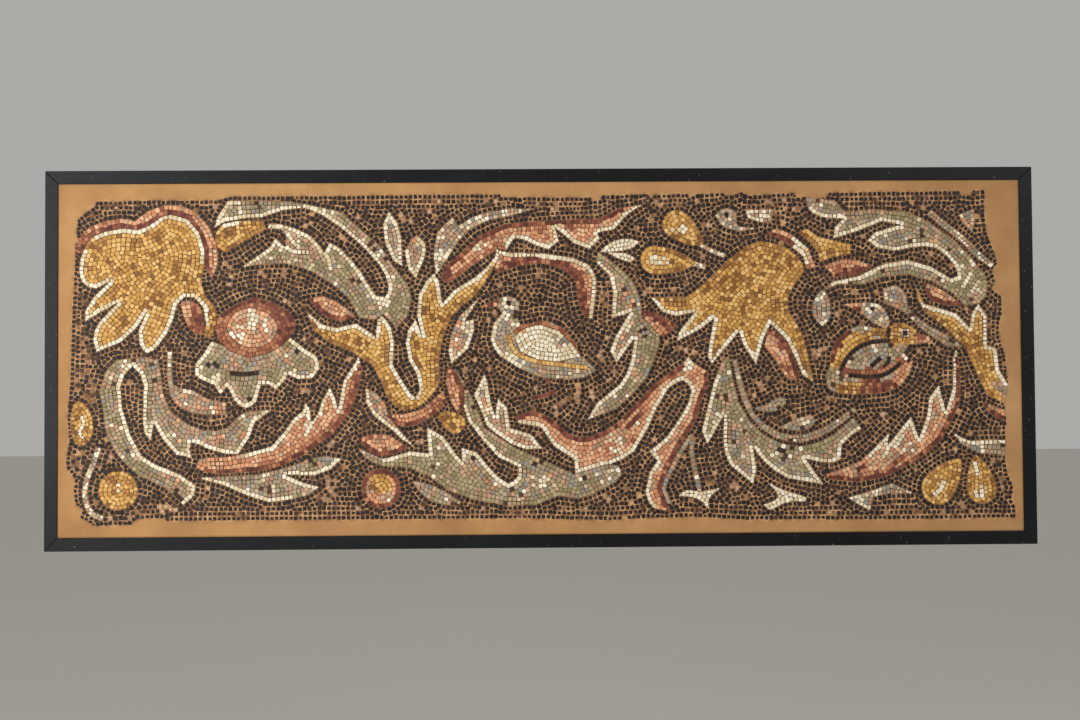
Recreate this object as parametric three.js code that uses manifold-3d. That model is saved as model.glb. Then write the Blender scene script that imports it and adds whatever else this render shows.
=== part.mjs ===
// Floor mosaic lifted from its bed, recast in a mortar slab and framed for hanging on a wall.
// Millimetres, +Z up, the picture faces -Y. The origin is the middle of the flat back.
import * as THREE from 'three';
import { mergeVertices } from 'three/addons/utils/BufferGeometryUtils.js';
import Module from 'manifold-3d';

const wasm = await Module();
wasm.setup();

// driving dimensions
const PANEL_WIDTH = 1880;
const PANEL_HEIGHT = 720;
const PANEL_DEPTH = 60;
const BAR_FACE = 25;
const BAR_GAUGE = 4;
const MORTAR_SETBACK = 1.2;
const STONE_SETBACK = 1.0;
const STONE_DEPTH = 6;
const BEDDING_DEPTH = 2;
const GAP = 0.4;
const FLATNESS = 2.2;
const TIP = true;

const steel = { color: 0x1b1d20, roughness: 0.42, metalness: 0.0 };
const mortar = { color: 0xb98a58, roughness: 0.95, metalness: 0.0 };
const charcoal = { color: 0x37312d, roughness: 0.8, metalness: 0.0 };
const ochre = { color: 0xcf9f4a, roughness: 0.75, metalness: 0.0 };
const coral = { color: 0xd08a62, roughness: 0.75, metalness: 0.0 };
const maroon = { color: 0x7c3d31, roughness: 0.75, metalness: 0.0 };
const russet = { color: 0xa86444, roughness: 0.75, metalness: 0.0 };
const olive = { color: 0x969072, roughness: 0.75, metalness: 0.0 };
const grey = { color: 0xa39a8c, roughness: 0.75, metalness: 0.0 };
const cream = { color: 0xe3d5b6, roughness: 0.75, metalness: 0.0 };

const group = new THREE.Group();

function addPart(name, geometry, look) {
  const mesh = new THREE.Mesh(geometry, new THREE.MeshStandardMaterial(look));
  mesh.name = name;
  group.add(mesh);
}

// Turns a closed geometry into a solid that can be joined and cut.
function solidOf(geometry) {
  const bare = geometry.clone();
  bare.deleteAttribute('normal');
  bare.deleteAttribute('uv');
  const merged = mergeVertices(bare, 1e-4);
  const mesh = new wasm.Mesh({
    numProp: 3,
    vertProperties: new Float32Array(merged.attributes.position.array),
    triVerts: new Uint32Array(merged.index.array),
  });
  return new wasm.Manifold(mesh);
}

function geometryOf(solid) {
  const mesh = solid.getMesh();
  const geometry = new THREE.BufferGeometry();
  geometry.setAttribute('position', new THREE.BufferAttribute(mesh.vertProperties, 3));
  geometry.setIndex(new THREE.BufferAttribute(mesh.triVerts, 1));
  return geometry;
}

// Points of a smooth line through the given places, with few extra points where it bends.
function smoothRun(places, closed) {
  const knots = places.map(([x, z]) => new THREE.Vector3(x, z, 0));
  const curve = new THREE.CatmullRomCurve3(knots, closed, 'centripetal');
  const spans = closed ? knots.length : knots.length - 1;
  const run = [];
  for (let span = 0; span < spans; span += 1) {
    const start = curve.getPoint(span / spans);
    const middle = curve.getPoint((span + 0.5) / spans);
    const end = curve.getPoint((span + 1) / spans);
    const chordMiddle = start.clone().add(end).multiplyScalar(0.5);
    const bulge = middle.distanceTo(chordMiddle);
    const steps = bulge > 3 * FLATNESS ? 3 : bulge > FLATNESS ? 2 : 1;
    for (let step = 0; step < steps; step += 1) {
      run.push(curve.getPoint((span + step / steps) / spans));
    }
  }
  return run.map((point) => new THREE.Vector2(point.x, point.y));
}

// A closed outline: smooth through its places, sharp at those marked as tips.
function outline(places) {
  const first = places.findIndex((place) => place[2]);
  if (first < 0) return smoothRun(places, true);
  const turned = [...places.slice(first), ...places.slice(0, first + 1)];
  const points = [];
  let start = 0;
  for (let index = 1; index < turned.length; index += 1) {
    if (turned[index][2]) {
      points.push(...smoothRun(turned.slice(start, index + 1), false));
      start = index;
    }
  }
  return points;
}

function disc(x, z, radius, sides = 18) {
  const points = [];
  for (let side = 0; side < sides; side += 1) {
    const turn = (2 * Math.PI * side) / sides;
    points.push(new THREE.Vector2(x + radius * Math.cos(turn), z + radius * Math.sin(turn)));
  }
  return points;
}

// A band of changing width along a smooth spine of places [x, z, halfWidth].
function band(spine) {
  const knots = spine.map(([x, z, half]) => new THREE.Vector3(x, z, half));
  const curve = new THREE.CatmullRomCurve3(knots, false, 'centripetal');
  const steps = (knots.length - 1) * 2;
  const left = [];
  const right = [];
  for (let step = 0; step <= steps; step += 1) {
    const at = curve.getPoint(step / steps);
    const along = curve.getTangent(step / steps);
    const side = new THREE.Vector2(-along.y, along.x).normalize();
    const half = Math.max(at.z, 1);
    left.push(new THREE.Vector2(at.x + side.x * half, at.y + side.y * half));
    right.push(new THREE.Vector2(at.x - side.x * half, at.y - side.y * half));
  }
  return [...left, ...right.reverse()];
}

// A pear: a round belly drawn out to a narrower neck that ends at the given tip.
function pear(x, z, radius, tipX, tipZ) {
  const neck = Math.hypot(tipX - x, tipZ - z);
  const turn = Math.atan2(tipZ - z, tipX - x);
  const points = [];
  const sides = 18;
  for (let side = 0; side < sides; side += 1) {
    const angle = (2 * Math.PI * side) / sides;
    const along = Math.cos(angle);
    const pinch = along > 0 ? 1 - 0.45 * along * along : 1;
    const u = along * (along > 0 ? neck : radius);
    const v = radius * Math.sin(angle) * pinch;
    points.push(new THREE.Vector2(
      x + u * Math.cos(turn) - v * Math.sin(turn),
      z + u * Math.sin(turn) + v * Math.cos(turn),
    ));
  }
  return points;
}

// The same outline moved outwards by a distance, with sharp corners kept short.
function grown(points, distance) {
  const turned = THREE.ShapeUtils.area(points) < 0 ? [...points].reverse() : points;
  return turned.map((point, index) => {
    const before = turned[(index + turned.length - 1) % turned.length];
    const after = turned[(index + 1) % turned.length];
    const arriving = point.clone().sub(before).normalize();
    const leaving = after.clone().sub(point).normalize();
    const normal = new THREE.Vector2(arriving.y + leaving.y, -arriving.x - leaving.x);
    const size = Math.max(normal.length(), 0.35);
    return point.clone().addScaledVector(normal, (2 * distance) / (size * size));
  });
}

// A plate of an outline between two depths measured forwards from the back.
function plate(points, back, front) {
  const shape = new THREE.Shape(points);
  const geometry = new THREE.ExtrudeGeometry(shape, { depth: front - back, bevelEnabled: false });
  geometry.rotateX(Math.PI / 2);
  geometry.translate(0, -back, 0);
  return geometry;
}

function rectangle(width, height) {
  const x = width / 2;
  const z = height / 2;
  return [[-x, -z], [x, -z], [x, z], [-x, z]].map(([u, v]) => new THREE.Vector2(u, v));
}

// Frame: four bars of black-painted steel angle, mitred at the corners.
// The section is a face of BAR_FACE with a leg of the panel's depth behind its outer edge.
function frameBar(name, length, height, turn) {
  const section = new THREE.Shape([
    [0, 0], [BAR_GAUGE, 0], [BAR_GAUGE, PANEL_DEPTH - BAR_GAUGE],
    [BAR_FACE, PANEL_DEPTH - BAR_GAUGE], [BAR_FACE, PANEL_DEPTH], [0, PANEL_DEPTH],
  ].map(([inward, forward]) => new THREE.Vector2(inward, forward)));
  const bar = new THREE.ExtrudeGeometry(section, { depth: length, bevelEnabled: false });
  const place = bar.attributes.position;
  for (let index = 0; index < place.count; index += 1) {
    const inward = place.getX(index);
    const forward = place.getY(index);
    const end = place.getZ(index) > length / 2 ? 1 : -1;
    const along = end * (length / 2 - inward - GAP * Math.SQRT1_2);
    place.setXYZ(index, -along, -forward, height / 2 - inward);
  }
  bar.rotateY(turn);
  addPart(name, geometryOf(solidOf(bar)), steel);
}

frameBar('frame_bar_top', PANEL_WIDTH, PANEL_HEIGHT, 0);
frameBar('frame_bar_bottom', PANEL_WIDTH, PANEL_HEIGHT, Math.PI);
frameBar('frame_bar_right', PANEL_HEIGHT, PANEL_WIDTH, Math.PI / 2);
frameBar('frame_bar_left', PANEL_HEIGHT, PANEL_WIDTH, -Math.PI / 2);

const stoneFront = PANEL_DEPTH - STONE_SETBACK;
const stoneBack = stoneFront - STONE_DEPTH;
const groundBack = stoneBack - BEDDING_DEPTH;

// The laid field, straight between places where its ragged edge turns.
const fieldEdge = [
  [-881, 240], [-880, 268], [-864, 281], [-850, 291], [-842, 303], [-720, 304], [-612, 304],
  [-590, 311], [-400, 311], [-200, 313], [-76, 313], [-75, 307], [95, 306], [97, 300], [114, 300],
  [116, 309], [205, 312], [210, 304], [216, 311], [280, 312], [286, 305], [302, 312], [350, 313],
  [357, 306], [385, 315], [396, 308], [485, 313], [490, 304], [545, 303], [550, 313], [800, 315],
  [806, 306], [824, 305], [826, 316], [850, 316], [849, 280], [852, 240], [866, 198], [872, 175],
  [862, 162], [868, 140], [860, 126], [880, 111], [880, 80], [874, 60], [874, 34], [885, -3],
  [889, -58], [882, -92], [884, -126], [881, -193], [885, -224], [896, -250], [893, -274],
  [900, -290], [900, -311], [700, -312], [390, -311], [298, -305], [203, -306], [127, -310],
  [-32, -305], [-430, -305], [-711, -305], [-716, -299], [-764, -301], [-778, -312], [-849, -313],
  [-857, -305], [-874, -298], [-868, -282], [-882, -272], [-886, -246], [-882, -227], [-899, -203],
  [-900, -184], [-894, -155], [-898, -107], [-893, -49], [-890, 61], [-885, 180],
].map(([x, z]) => new THREE.Vector2(x, z));

// The picture. Each inlay is a patch of tesserae of one main colour: its name, look and outline.
// An inlay gives way to those listed before it, so only the first of two neighbours needs care.
const picture = [
  ['left_blossom_petal', maroon, outline([
    [-684, 110, TIP], [-668, 113], [-650, 105], [-642, 88], [-638, 64], [-644, 47, TIP],
    [-657, 50], [-669, 62], [-678, 82],
  ])],
  ['left_blossom', ochre, outline([
    [-875, 163, TIP], [-874, 190], [-861, 225], [-828, 244], [-794, 250], [-764, 247, TIP],
    [-742, 256], [-718, 273], [-701, 276], [-670, 267], [-649, 242], [-638, 206], [-640, 178],
    [-646, 150], [-637, 120], [-620, 100], [-615, 75], [-621, 52], [-629, 41, TIP], [-640, 46],
    [-636, 70], [-641, 99], [-658, 118], [-677, 119], [-691, 104], [-697, 80, TIP], [-709, 51],
    [-728, 25], [-747, 13], [-761, 30], [-763, 56], [-749, 89, TIP], [-768, 60], [-797, 34],
    [-842, 16, TIP], [-849, 40], [-838, 72], [-803, 109, TIP], [-832, 93], [-864, 74, TIP],
    [-864, 94], [-848, 120], [-818, 149, TIP], [-844, 136], [-868, 146],
  ])],
  ['left_blossom_crown', coral, outline([
    [-881, 205, TIP], [-876, 232], [-856, 252], [-828, 264], [-794, 269], [-770, 264], [-747, 282],
    [-716, 294], [-682, 293], [-654, 280], [-632, 254], [-615, 219], [-614, 180], [-624, 154, TIP],
    [-650, 200], [-700, 240], [-790, 230], [-860, 200],
  ])],
  ['curled_leaf_lining', ochre, outline([
    [-604, 258, TIP], [-575, 264], [-527, 263, TIP], [-522, 248], [-545, 236], [-580, 214],
    [-598, 204, TIP], [-616, 214], [-618, 240],
  ])],
  ['acanthus_leaf', olive, outline([
    [-567, 176, TIP], [-540, 195], [-514, 214], [-505, 229, TIP], [-485, 213, TIP], [-484, 236],
    [-494, 248], [-519, 249, TIP], [-518, 257], [-497, 257], [-471, 250], [-440, 236], [-421, 217],
    [-412, 201, TIP], [-402, 221, TIP], [-384, 212], [-362, 190], [-343, 165], [-326, 137],
    [-314, 119], [-297, 117], [-290, 138], [-305, 175], [-336, 211], [-379, 249], [-419, 276],
    [-450, 288], [-488, 284], [-530, 270], [-556, 269], [-600, 262, TIP], [-620, 250, TIP],
    [-614, 272], [-594, 302, TIP], [-540, 302], [-480, 300], [-430, 291], [-379, 279],
    [-333, 237], [-305, 213], [-283, 178], [-256, 143], [-246, 112], [-255, 80], [-276, 57, TIP],
    [-300, 84], [-318, 74, TIP], [-345, 78], [-368, 118], [-398, 144], [-438, 168], [-481, 182],
    [-526, 181],
  ])],
  ['pomegranate_heart', coral, outline([
    [-597, 60], [-582, 88], [-548, 98], [-520, 88], [-500, 62], [-512, 34], [-545, 22], [-578, 32],
  ])],
  ['pomegranate', russet, outline([
    [-618, 60], [-607, 88], [-580, 104], [-545, 118], [-512, 109], [-480, 92], [-466, 64],
    [-473, 45], [-492, 26], [-520, 11], [-556, 4], [-590, 16], [-612, 38],
  ])],
  ['pomegranate_calyx', olive, outline([
    [-626, 34, TIP], [-640, 12], [-656, -8], [-657, -28], [-644, -38], [-620, -48], [-609, -66, TIP],
    [-596, -52], [-582, -78], [-562, -92], [-541, -80], [-532, -48], [-518, -48], [-503, -57, TIP],
    [-486, -40], [-482, -28, TIP], [-462, -38], [-438, -37], [-422, -18], [-428, 6], [-450, 20],
    [-482, 46], [-545, 30], [-600, 26],
  ])],
  ['arc_leaf', olive, outline([
    [-804, 0], [-826, -24], [-836, -60], [-829, -100], [-824, -138], [-804, -176], [-763, -217],
    [-712, -242], [-690, -262], [-678, -274, TIP], [-658, -256], [-655, -238, TIP], [-684, -217],
    [-730, -198], [-757, -181], [-779, -140], [-794, -90], [-797, -50], [-789, -27],
    [-775, -12, TIP], [-759, -27], [-753, -50], [-755, -110], [-752, -138], [-740, -153, TIP],
    [-734, -120, TIP], [-716, -151], [-692, -179], [-664, -185, TIP], [-664, -156], [-634, -168],
    [-600, -178], [-576, -180, TIP], [-554, -148], [-543, -118], [-514, -97, TIP], [-557, -98],
    [-574, -108], [-597, -130], [-640, -134], [-672, -122], [-702, -98], [-716, -66], [-722, -20],
    [-727, 0], [-772, 4],
  ])],
  ['small_leaf', grey, outline([
    [-709, 16, TIP], [-699, 16, TIP], [-697, -48], [-660, -58], [-630, -76], [-598, -82, TIP],
    [-598, -103, TIP], [-640, -104], [-682, -92], [-704, -66], [-709, -30],
  ])],
  ['flame_leaf', coral, outline([
    [-655, -204, TIP], [-649, -188], [-600, -185], [-557, -177], [-512, -165], [-488, -137],
    [-470, -112], [-451, -97], [-449, -82, TIP], [-440, -94], [-437, -120, TIP], [-425, -106],
    [-417, -80], [-402, -54, TIP], [-392, -74], [-386, -96, TIP], [-381, -68], [-376, -42],
    [-358, -14], [-347, 5, TIP], [-341, -20], [-349, -60], [-366, -104], [-397, -141],
    [-447, -179], [-500, -204], [-588, -215], [-636, -213],
  ])],
  ['double_leaf', grey, outline([
    [-654, -223, TIP], [-600, -221], [-540, -219], [-500, -209], [-466, -200], [-440, -188],
    [-410, -184], [-380, -189, TIP], [-400, -208], [-430, -220], [-486, -219, TIP], [-455, -233],
    [-422, -242, TIP], [-443, -257], [-481, -266], [-519, -270], [-560, -256], [-606, -236],
  ])],
  ['round_fruit', ochre, disc(-801, -246, 37)],
  ['long_fruit', ochre, outline([
    [-876, -76], [-856, -94], [-848, -130], [-862, -160], [-882, -158], [-891, -120], [-889, -90],
  ])],
  ['rose_leaf_left', coral, outline([
    [-440, 115, TIP], [-414, 119], [-388, 108], [-352, 81, TIP], [-380, 71], [-405, 78], [-428, 97],
  ])],
  ['great_calyx', ochre, outline([
    [-448, 95, TIP], [-436, 82], [-414, 64], [-388, 59], [-352, 67], [-335, 56], [-315, 42, TIP],
    [-311, 74], [-303, 83, TIP], [-286, 60], [-280, 30], [-282, -12], [-270, -34], [-250, -66],
    [-240, -74, TIP], [-232, -60], [-237, -30], [-252, -4], [-258, 30], [-253, 54],
    [-239, 74, TIP], [-228, 46, TIP], [-236, 80], [-233, 120], [-218, 148], [-203, 162, TIP],
    [-194, 145], [-188, 104, TIP], [-165, 130], [-129, 151], [-103, 173], [-88, 192],
    [-82, 211, TIP], [-80, 190], [-101, 154], [-122, 121], [-151, 99], [-172, 78], [-187, 40],
    [-195, 0], [-194, -50], [-213, -74], [-246, -97], [-274, -94], [-292, -75], [-305, -42],
    [-322, -12], [-360, 13], [-400, 30], [-431, 54],
  ])],
  ['calyx_collar', coral, outline([
    [-296, -106, TIP], [-262, -106], [-227, -96], [-205, -78], [-188, -63, TIP], [-182, -80],
    [-205, -108], [-238, -126], [-274, -127],
  ])],
  ['pointed_leaf_low', cream, outline([
    [-334, -56, TIP], [-314, -66], [-298, -84], [-290, -110], [-272, -134], [-246, -164, TIP],
    [-264, -155], [-286, -134], [-319, -108], [-334, -82],
  ])],
  ['rose_leaf_low', coral, outline([
    [-349, -152, TIP], [-324, -143], [-290, -145], [-253, -169, TIP], [-280, -181], [-308, -185],
    [-332, -172],
  ])],
  ['round_flower', coral, disc(-306, -246, 37.5)],
  ['stem_leaf_rose', coral, outline([
    [-177, -14, TIP], [-182, -46], [-172, -84], [-158, -107, TIP], [-148, -90], [-148, -58],
    [-160, -32],
  ])],
  ['white_bud', cream, outline([
    [-109, -30, TIP], [-104, -44], [-96, -90], [-89, -108, TIP], [-84, -78, TIP], [-66, -94],
    [-61, -134], [-44, -138], [-20, -146], [0, -172, TIP], [-30, -174], [-58, -164],
    [-84, -146], [-104, -130], [-117, -96], [-129, -70, TIP],
  ])],
  ['scroll_leaf', olive, outline([
    [-176, -10, TIP], [-156, -30], [-134, -72], [-110, -132], [-84, -150], [-48, -173], [0, -194],
    [26, -206], [60, -222], [120, -204], [142, -206], [150, -224], [117, -248], [66, -268],
    [30, -262], [-14, -279], [-70, -280], [-132, -267], [-179, -250], [-210, -226], [-252, -206],
    [-302, -204], [-336, -186], [-347, -171, TIP], [-300, -190], [-250, -176], [-215, -180, TIP],
    [-219, -130, TIP], [-188, -148], [-165, -180], [-153, -194, TIP], [-153, -170, TIP],
    [-124, -179], [-103, -205], [-84, -226], [-65, -238], [-46, -224], [-46, -206, TIP],
    [-84, -188], [-114, -154], [-140, -120], [-149, -92], [-150, -56],
  ])],
  ['white_leaf_mid', grey, outline([
    [-119, 114, TIP], [-134, 88], [-146, 70], [-129, 74, TIP], [-128, 52], [-140, 18], [-172, -11, TIP],
    [-177, 14], [-171, 46], [-157, 78],
  ])],
  ['bird_wing', cream, outline([
    [-52, 40, TIP], [-36, 54], [0, 62], [34, 50], [58, 26], [74, 1, TIP], [30, -8], [-10, -3],
    [-40, 12],
  ])],
  ['bird', grey, outline([
    [-117, 96, TIP], [-84, 112], [-63, 118], [-41, 104], [-46, 78], [-40, 62], [0, 70], [38, 58],
    [64, 28], [76, 2], [104, -24, TIP], [78, -39], [50, -41], [0, -38], [-42, -20], [-80, 4],
    [-97, 36], [-90, 66], [-74, 86], [-84, 98],
  ])],
  ['ribbon_leaf', coral, outline([
    [-189, 152, TIP], [-186, 172], [-150, 202], [-118, 232], [-68, 255], [-20, 259], [60, 263],
    [108, 263], [150, 284], [194, 291, TIP], [165, 272], [140, 244], [108, 237], [112, 226],
    [92, 206, TIP], [62, 218], [28, 247], [34, 222], [14, 206, TIP], [-12, 215], [-50, 229],
    [-66, 206, TIP], [-82, 207], [-118, 185], [-150, 162], [-180, 143],
  ])],
  ['ribbon_arch', coral, outline([
    [-84, 205, TIP], [-58, 200], [0, 199], [60, 190], [90, 177], [105, 148], [103, 112],
    [97, 73, TIP], [82, 78], [70, 110], [66, 144], [40, 168], [-6, 180], [-50, 173], [-88, 160, TIP],
  ])],
  ['spear_leaf_a', grey, outline([
    [-289, 280, TIP], [-273, 258], [-265, 228], [-264, 176, TIP], [-281, 186], [-297, 222],
    [-300, 256],
  ])],
  ['spear_leaf_b', grey, outline([
    [-235, 235, TIP], [-220, 220], [-222, 190], [-238, 152, TIP], [-253, 170], [-259, 204],
    [-249, 224],
  ])],
  ['spear_leaf_c', grey, outline([
    [-168, 268, TIP], [-158, 252], [-132, 268], [-99, 278], [-56, 285], [-16, 283, TIP],
    [-56, 271], [-100, 263], [-134, 246], [-158, 222], [-178, 190], [-200, 158, TIP],
    [-204, 190], [-196, 240], [-182, 256],
  ])],
  ['plume_leaf', olive, outline([
    [110, 200, TIP], [140, 178], [172, 147], [187, 114], [192, 75], [224, 42], [220, 12],
    [200, -38], [174, -68], [138, -99], [86, -118, TIP], [103, -88], [148, -52], [170, -8],
    [177, 36, TIP], [156, 8], [143, -11, TIP], [130, 12], [141, 40], [168, 84, TIP],
    [134, 75, TIP], [137, 124], [130, 156], [104, 182],
  ])],
  ['rose_leaf_mid', maroon, outline([
    [190, 90, TIP], [222, 82], [259, 61, TIP], [246, 48], [230, 38, TIP], [204, 54],
  ])],
  ['flame_scroll', coral, outline([
    [-51, -112, TIP], [-22, -101], [15, -114], [50, -145], [88, -151], [143, -125], [178, -90],
    [215, -50], [250, -25], [270, -12], [279, 0, TIP], [289, -12], [314, -28], [318, -52],
    [302, -84], [293, -120], [262, -168], [238, -212], [225, -248], [237, -283], [242, -294, TIP],
    [210, -287], [195, -256], [203, -220], [218, -197], [203, -179, TIP], [236, -153],
    [266, -110], [284, -64], [268, -45], [240, -60], [218, -96], [200, -136], [174, -179],
    [132, -202], [62, -223], [61, -193], [22, -168], [-2, -132], [-46, -124],
  ])],
  ['pear_upper', ochre, pear(259, 253, 27, 309, 213)],
  ['pear_lower', ochre, pear(216, 185, 27, 294, 178)],
  ['blossom_petal_right', coral, outline([
    [433, 54, TIP], [424, 20], [446, -8], [468, -44], [492, -44, TIP], [476, 10], [458, 38],
  ])],
  ['right_blossom', ochre, outline([
    [209, 113, TIP], [250, 113], [274, 113], [308, 137], [358, 185], [393, 211], [421, 220],
    [459, 211], [492, 187], [502, 161], [484, 139], [470, 114], [471, 84], [492, 52], [505, 10],
    [517, -50, TIP], [496, -36], [484, -6], [466, 32], [436, 62, TIP], [422, 32], [408, -15, TIP],
    [385, 20], [376, 47, TIP], [350, 17], [324, -14, TIP], [316, 0], [320, 30], [329, 73, TIP],
    [296, 49], [258, 30, TIP], [262, 48], [291, 84, TIP], [255, 78], [230, 86],
  ])],
  ['blossom_eyebrow', coral, outline([
    [427, 231, TIP], [446, 243], [480, 231], [510, 206], [523, 170, TIP], [506, 166, TIP],
    [500, 190], [470, 216], [444, 229],
  ])],
  ['ochre_trefoil', ochre, outline([
    [489, 236, TIP], [508, 243], [530, 227], [560, 220], [592, 212, TIP], [590, 194, TIP],
    [560, 190], [531, 179, TIP], [528, 200], [510, 220],
  ])],
  ['rose_leaf_right', maroon, outline([
    [540, 172, TIP], [574, 184], [606, 181], [634, 171, TIP], [602, 154], [560, 150, TIP],
  ])],
  ['upper_leaf', olive, outline([
    [506, 303, TIP], [560, 296], [580, 276], [628, 279], [700, 274], [741, 255], [791, 217],
    [824, 183], [849, 150], [848, 112], [836, 99, TIP], [808, 94], [786, 118], [745, 142],
    [700, 155], [655, 151], [612, 136], [566, 137], [534, 122, TIP], [556, 141], [606, 152],
    [655, 175], [700, 182], [745, 169], [784, 146], [796, 152], [788, 174], [755, 205],
    [712, 207], [676, 200], [642, 206], [624, 220, TIP], [640, 236], [688, 250, TIP],
    [652, 257], [604, 238], [558, 224, TIP], [562, 246], [578, 262, TIP], [540, 264], [512, 280],
  ])],
  ['duck', ochre, outline([
    [549, -20], [551, 4], [560, 28], [582, 47], [606, 58], [630, 54], [660, 51, TIP], [672, 60],
    [690, 62], [708, 54], [718, 41], [748, 33, TIP], [734, 24], [700, 21, TIP], [690, 4],
    [708, -12, TIP], [698, -38], [672, -64], [630, -72], [562, -71], [543, -60], [541, -38],
  ])],
  ['branch_leaf', grey, outline([
    [652, 128, TIP], [676, 134], [696, 116], [700, 90], [740, 56], [780, 34], [806, 14, TIP],
    [770, 18], [730, 46], [690, 84], [655, 100],
  ])],
  ['upper_stem', grey, band([
    [742, 274, 6], [770, 250, 6], [806, 222, 6], [834, 193, 6], [862, 170, 5],
  ])],
  ['rose_leaf_edge', coral, outline([
    [729, 141, TIP], [770, 122], [806, 94, TIP], [768, 96], [738, 112],
  ])],
  ['edge_leaf', ochre, outline([
    [717, 128, TIP], [730, 98], [760, 89], [792, 79], [817, 52, TIP], [822, 80], [834, 98, TIP],
    [850, 74], [850, 18], [868, 12], [872, -28], [889, -58, TIP], [884, -94, TIP], [848, -76],
    [830, -36], [810, 12], [768, 55], [732, 82], [719, 106],
  ])],
  ['tall_leaf', olive, outline([
    [355, 2, TIP], [341, -14], [326, -52], [312, -108], [303, -142], [314, -166, TIP],
    [329, -140], [345, -112, TIP], [344, -164], [356, -206], [400, -242, TIP], [406, -216],
    [401, -174, TIP], [420, -199], [466, -232], [534, -244, TIP], [518, -222], [500, -195, TIP],
    [534, -203], [567, -197], [570, -168], [607, -139, TIP], [592, -118, TIP], [552, -152],
    [490, -172], [436, -158], [396, -126], [372, -84], [362, -36],
  ])],
  ['tendril', grey, band([
    [367, -6, 4], [378, -56, 5], [400, -112, 5], [448, -151, 6], [500, -156, 7], [552, -134, 6],
    [596, -102, 5],
  ])],
  ['pink_leaf', coral, outline([
    [532, -227, TIP], [571, -215], [606, -200], [628, -180], [660, -148, TIP], [657, -170],
    [676, -148], [702, -116, TIP], [717, -158, TIP], [733, -116], [737, -82], [756, -57, TIP],
    [769, -106, TIP], [783, -62], [784, -10], [790, 12, TIP], [797, -30], [794, -96], [779, -124],
    [760, -160], [711, -200], [650, -231], [600, -240], [550, -235],
  ])],
  ['low_leaf', grey, outline([
    [580, -270, TIP], [628, -256], [664, -243], [704, -262, TIP], [628, -268], [622, -294, TIP],
    [598, -282],
  ])],
  ['pear_edge_left', ochre, pear(752, -252, 32, 795, -198)],
  ['pear_edge_right', ochre, pear(836, -255, 28, 824, -190)],
  ['edge_stem_leaf', cream, outline([
    [784, -149, TIP], [812, -164], [846, -162], [884, -162, TIP], [882, -191, TIP], [829, -186],
    [797, -168],
  ])],
];

// Inlays: each patch of the picture, kept inside the field and parted by a joint from the others.
const field = solidOf(plate(fieldEdge, groundBack, stoneFront));
const joints = [];
for (const [name, look, points] of picture) {
  let patch = solidOf(plate(points, stoneBack, stoneFront)).intersect(field);
  for (const joint of joints) {
    patch = patch.subtract(joint);
  }
  const bodies = patch.decompose().sort((one, other) => other.volume() - one.volume());
  addPart(name, geometryOf(bodies[0]), look);
  joints.push(solidOf(plate(grown(points, GAP), stoneBack - GAP, PANEL_DEPTH)));
}

// Ground: the dark tesserae around the picture, on the thin bedding that runs under it all.
let ground = field;
for (const joint of joints) {
  ground = ground.subtract(joint);
}
addPart('ground_tesserae', geometryOf(ground), charcoal);

// Mortar slab: fills the frame from the wall, its border showing around the tesserae.
function inset(margin) {
  return rectangle(PANEL_WIDTH - 2 * (margin + GAP), PANEL_HEIGHT - 2 * (margin + GAP));
}
const slabFront = PANEL_DEPTH - BAR_GAUGE - GAP;
const slab = solidOf(plate(inset(BAR_GAUGE), 0, slabFront));
const border = solidOf(plate(inset(BAR_FACE), slabFront - 1, PANEL_DEPTH - MORTAR_SETBACK));
const recess = solidOf(plate(grown(fieldEdge, GAP), groundBack - GAP, PANEL_DEPTH));
addPart('mortar_slab', geometryOf(slab.add(border).subtract(recess)), mortar);

export default group;
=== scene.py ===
import math

import bmesh
import bpy
import numpy as np
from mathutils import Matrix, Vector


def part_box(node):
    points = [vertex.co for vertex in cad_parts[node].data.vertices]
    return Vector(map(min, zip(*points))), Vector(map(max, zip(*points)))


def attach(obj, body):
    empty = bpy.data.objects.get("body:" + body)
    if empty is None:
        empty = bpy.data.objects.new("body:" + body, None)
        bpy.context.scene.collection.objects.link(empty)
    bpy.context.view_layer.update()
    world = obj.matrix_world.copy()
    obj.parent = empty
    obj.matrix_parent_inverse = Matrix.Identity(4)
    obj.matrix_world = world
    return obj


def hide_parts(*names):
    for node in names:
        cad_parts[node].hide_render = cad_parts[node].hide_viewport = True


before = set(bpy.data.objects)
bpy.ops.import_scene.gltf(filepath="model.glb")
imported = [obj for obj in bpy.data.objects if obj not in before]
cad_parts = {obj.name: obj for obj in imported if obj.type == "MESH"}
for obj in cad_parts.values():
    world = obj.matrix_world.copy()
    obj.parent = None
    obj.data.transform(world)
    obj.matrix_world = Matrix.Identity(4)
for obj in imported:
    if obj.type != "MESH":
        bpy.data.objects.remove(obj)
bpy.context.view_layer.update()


# ---------------------------------------------------------------------------------------------
# Steel angle frame. Four lengths of rolled angle, mitred and welded at the corners, hold the slab.
# They are brush-painted satin black; edges are slightly round, and the paint has small chips.

def linear(hex_colour):
    """sRGB hex to linear RGBA: each channel c is ((c + 0.055) / 1.055) ** 2.4, or c / 12.92 when dark."""
    channels = [int(hex_colour[place:place + 2], 16) / 255 for place in (1, 3, 5)]
    return [c / 12.92 if c < 0.04045 else ((c + 0.055) / 1.055) ** 2.4 for c in channels] + [1.0]


def add_node(material, kind, settings=(), **links):
    """Adds a shader node, sets its properties and sockets, and joins its inputs to other sockets."""
    node = material.node_tree.nodes.new("ShaderNode" + kind)
    for name, value in dict(settings).items():
        if isinstance(name, int) or name in node.inputs:
            node.inputs[name].default_value = value
        else:
            setattr(node, name, value)
    for name, source in links.items():
        place = int(name[2:]) if name.startswith("in") else name.replace("_", " ")
        material.node_tree.links.new(source, node.inputs[place])
    return node


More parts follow.
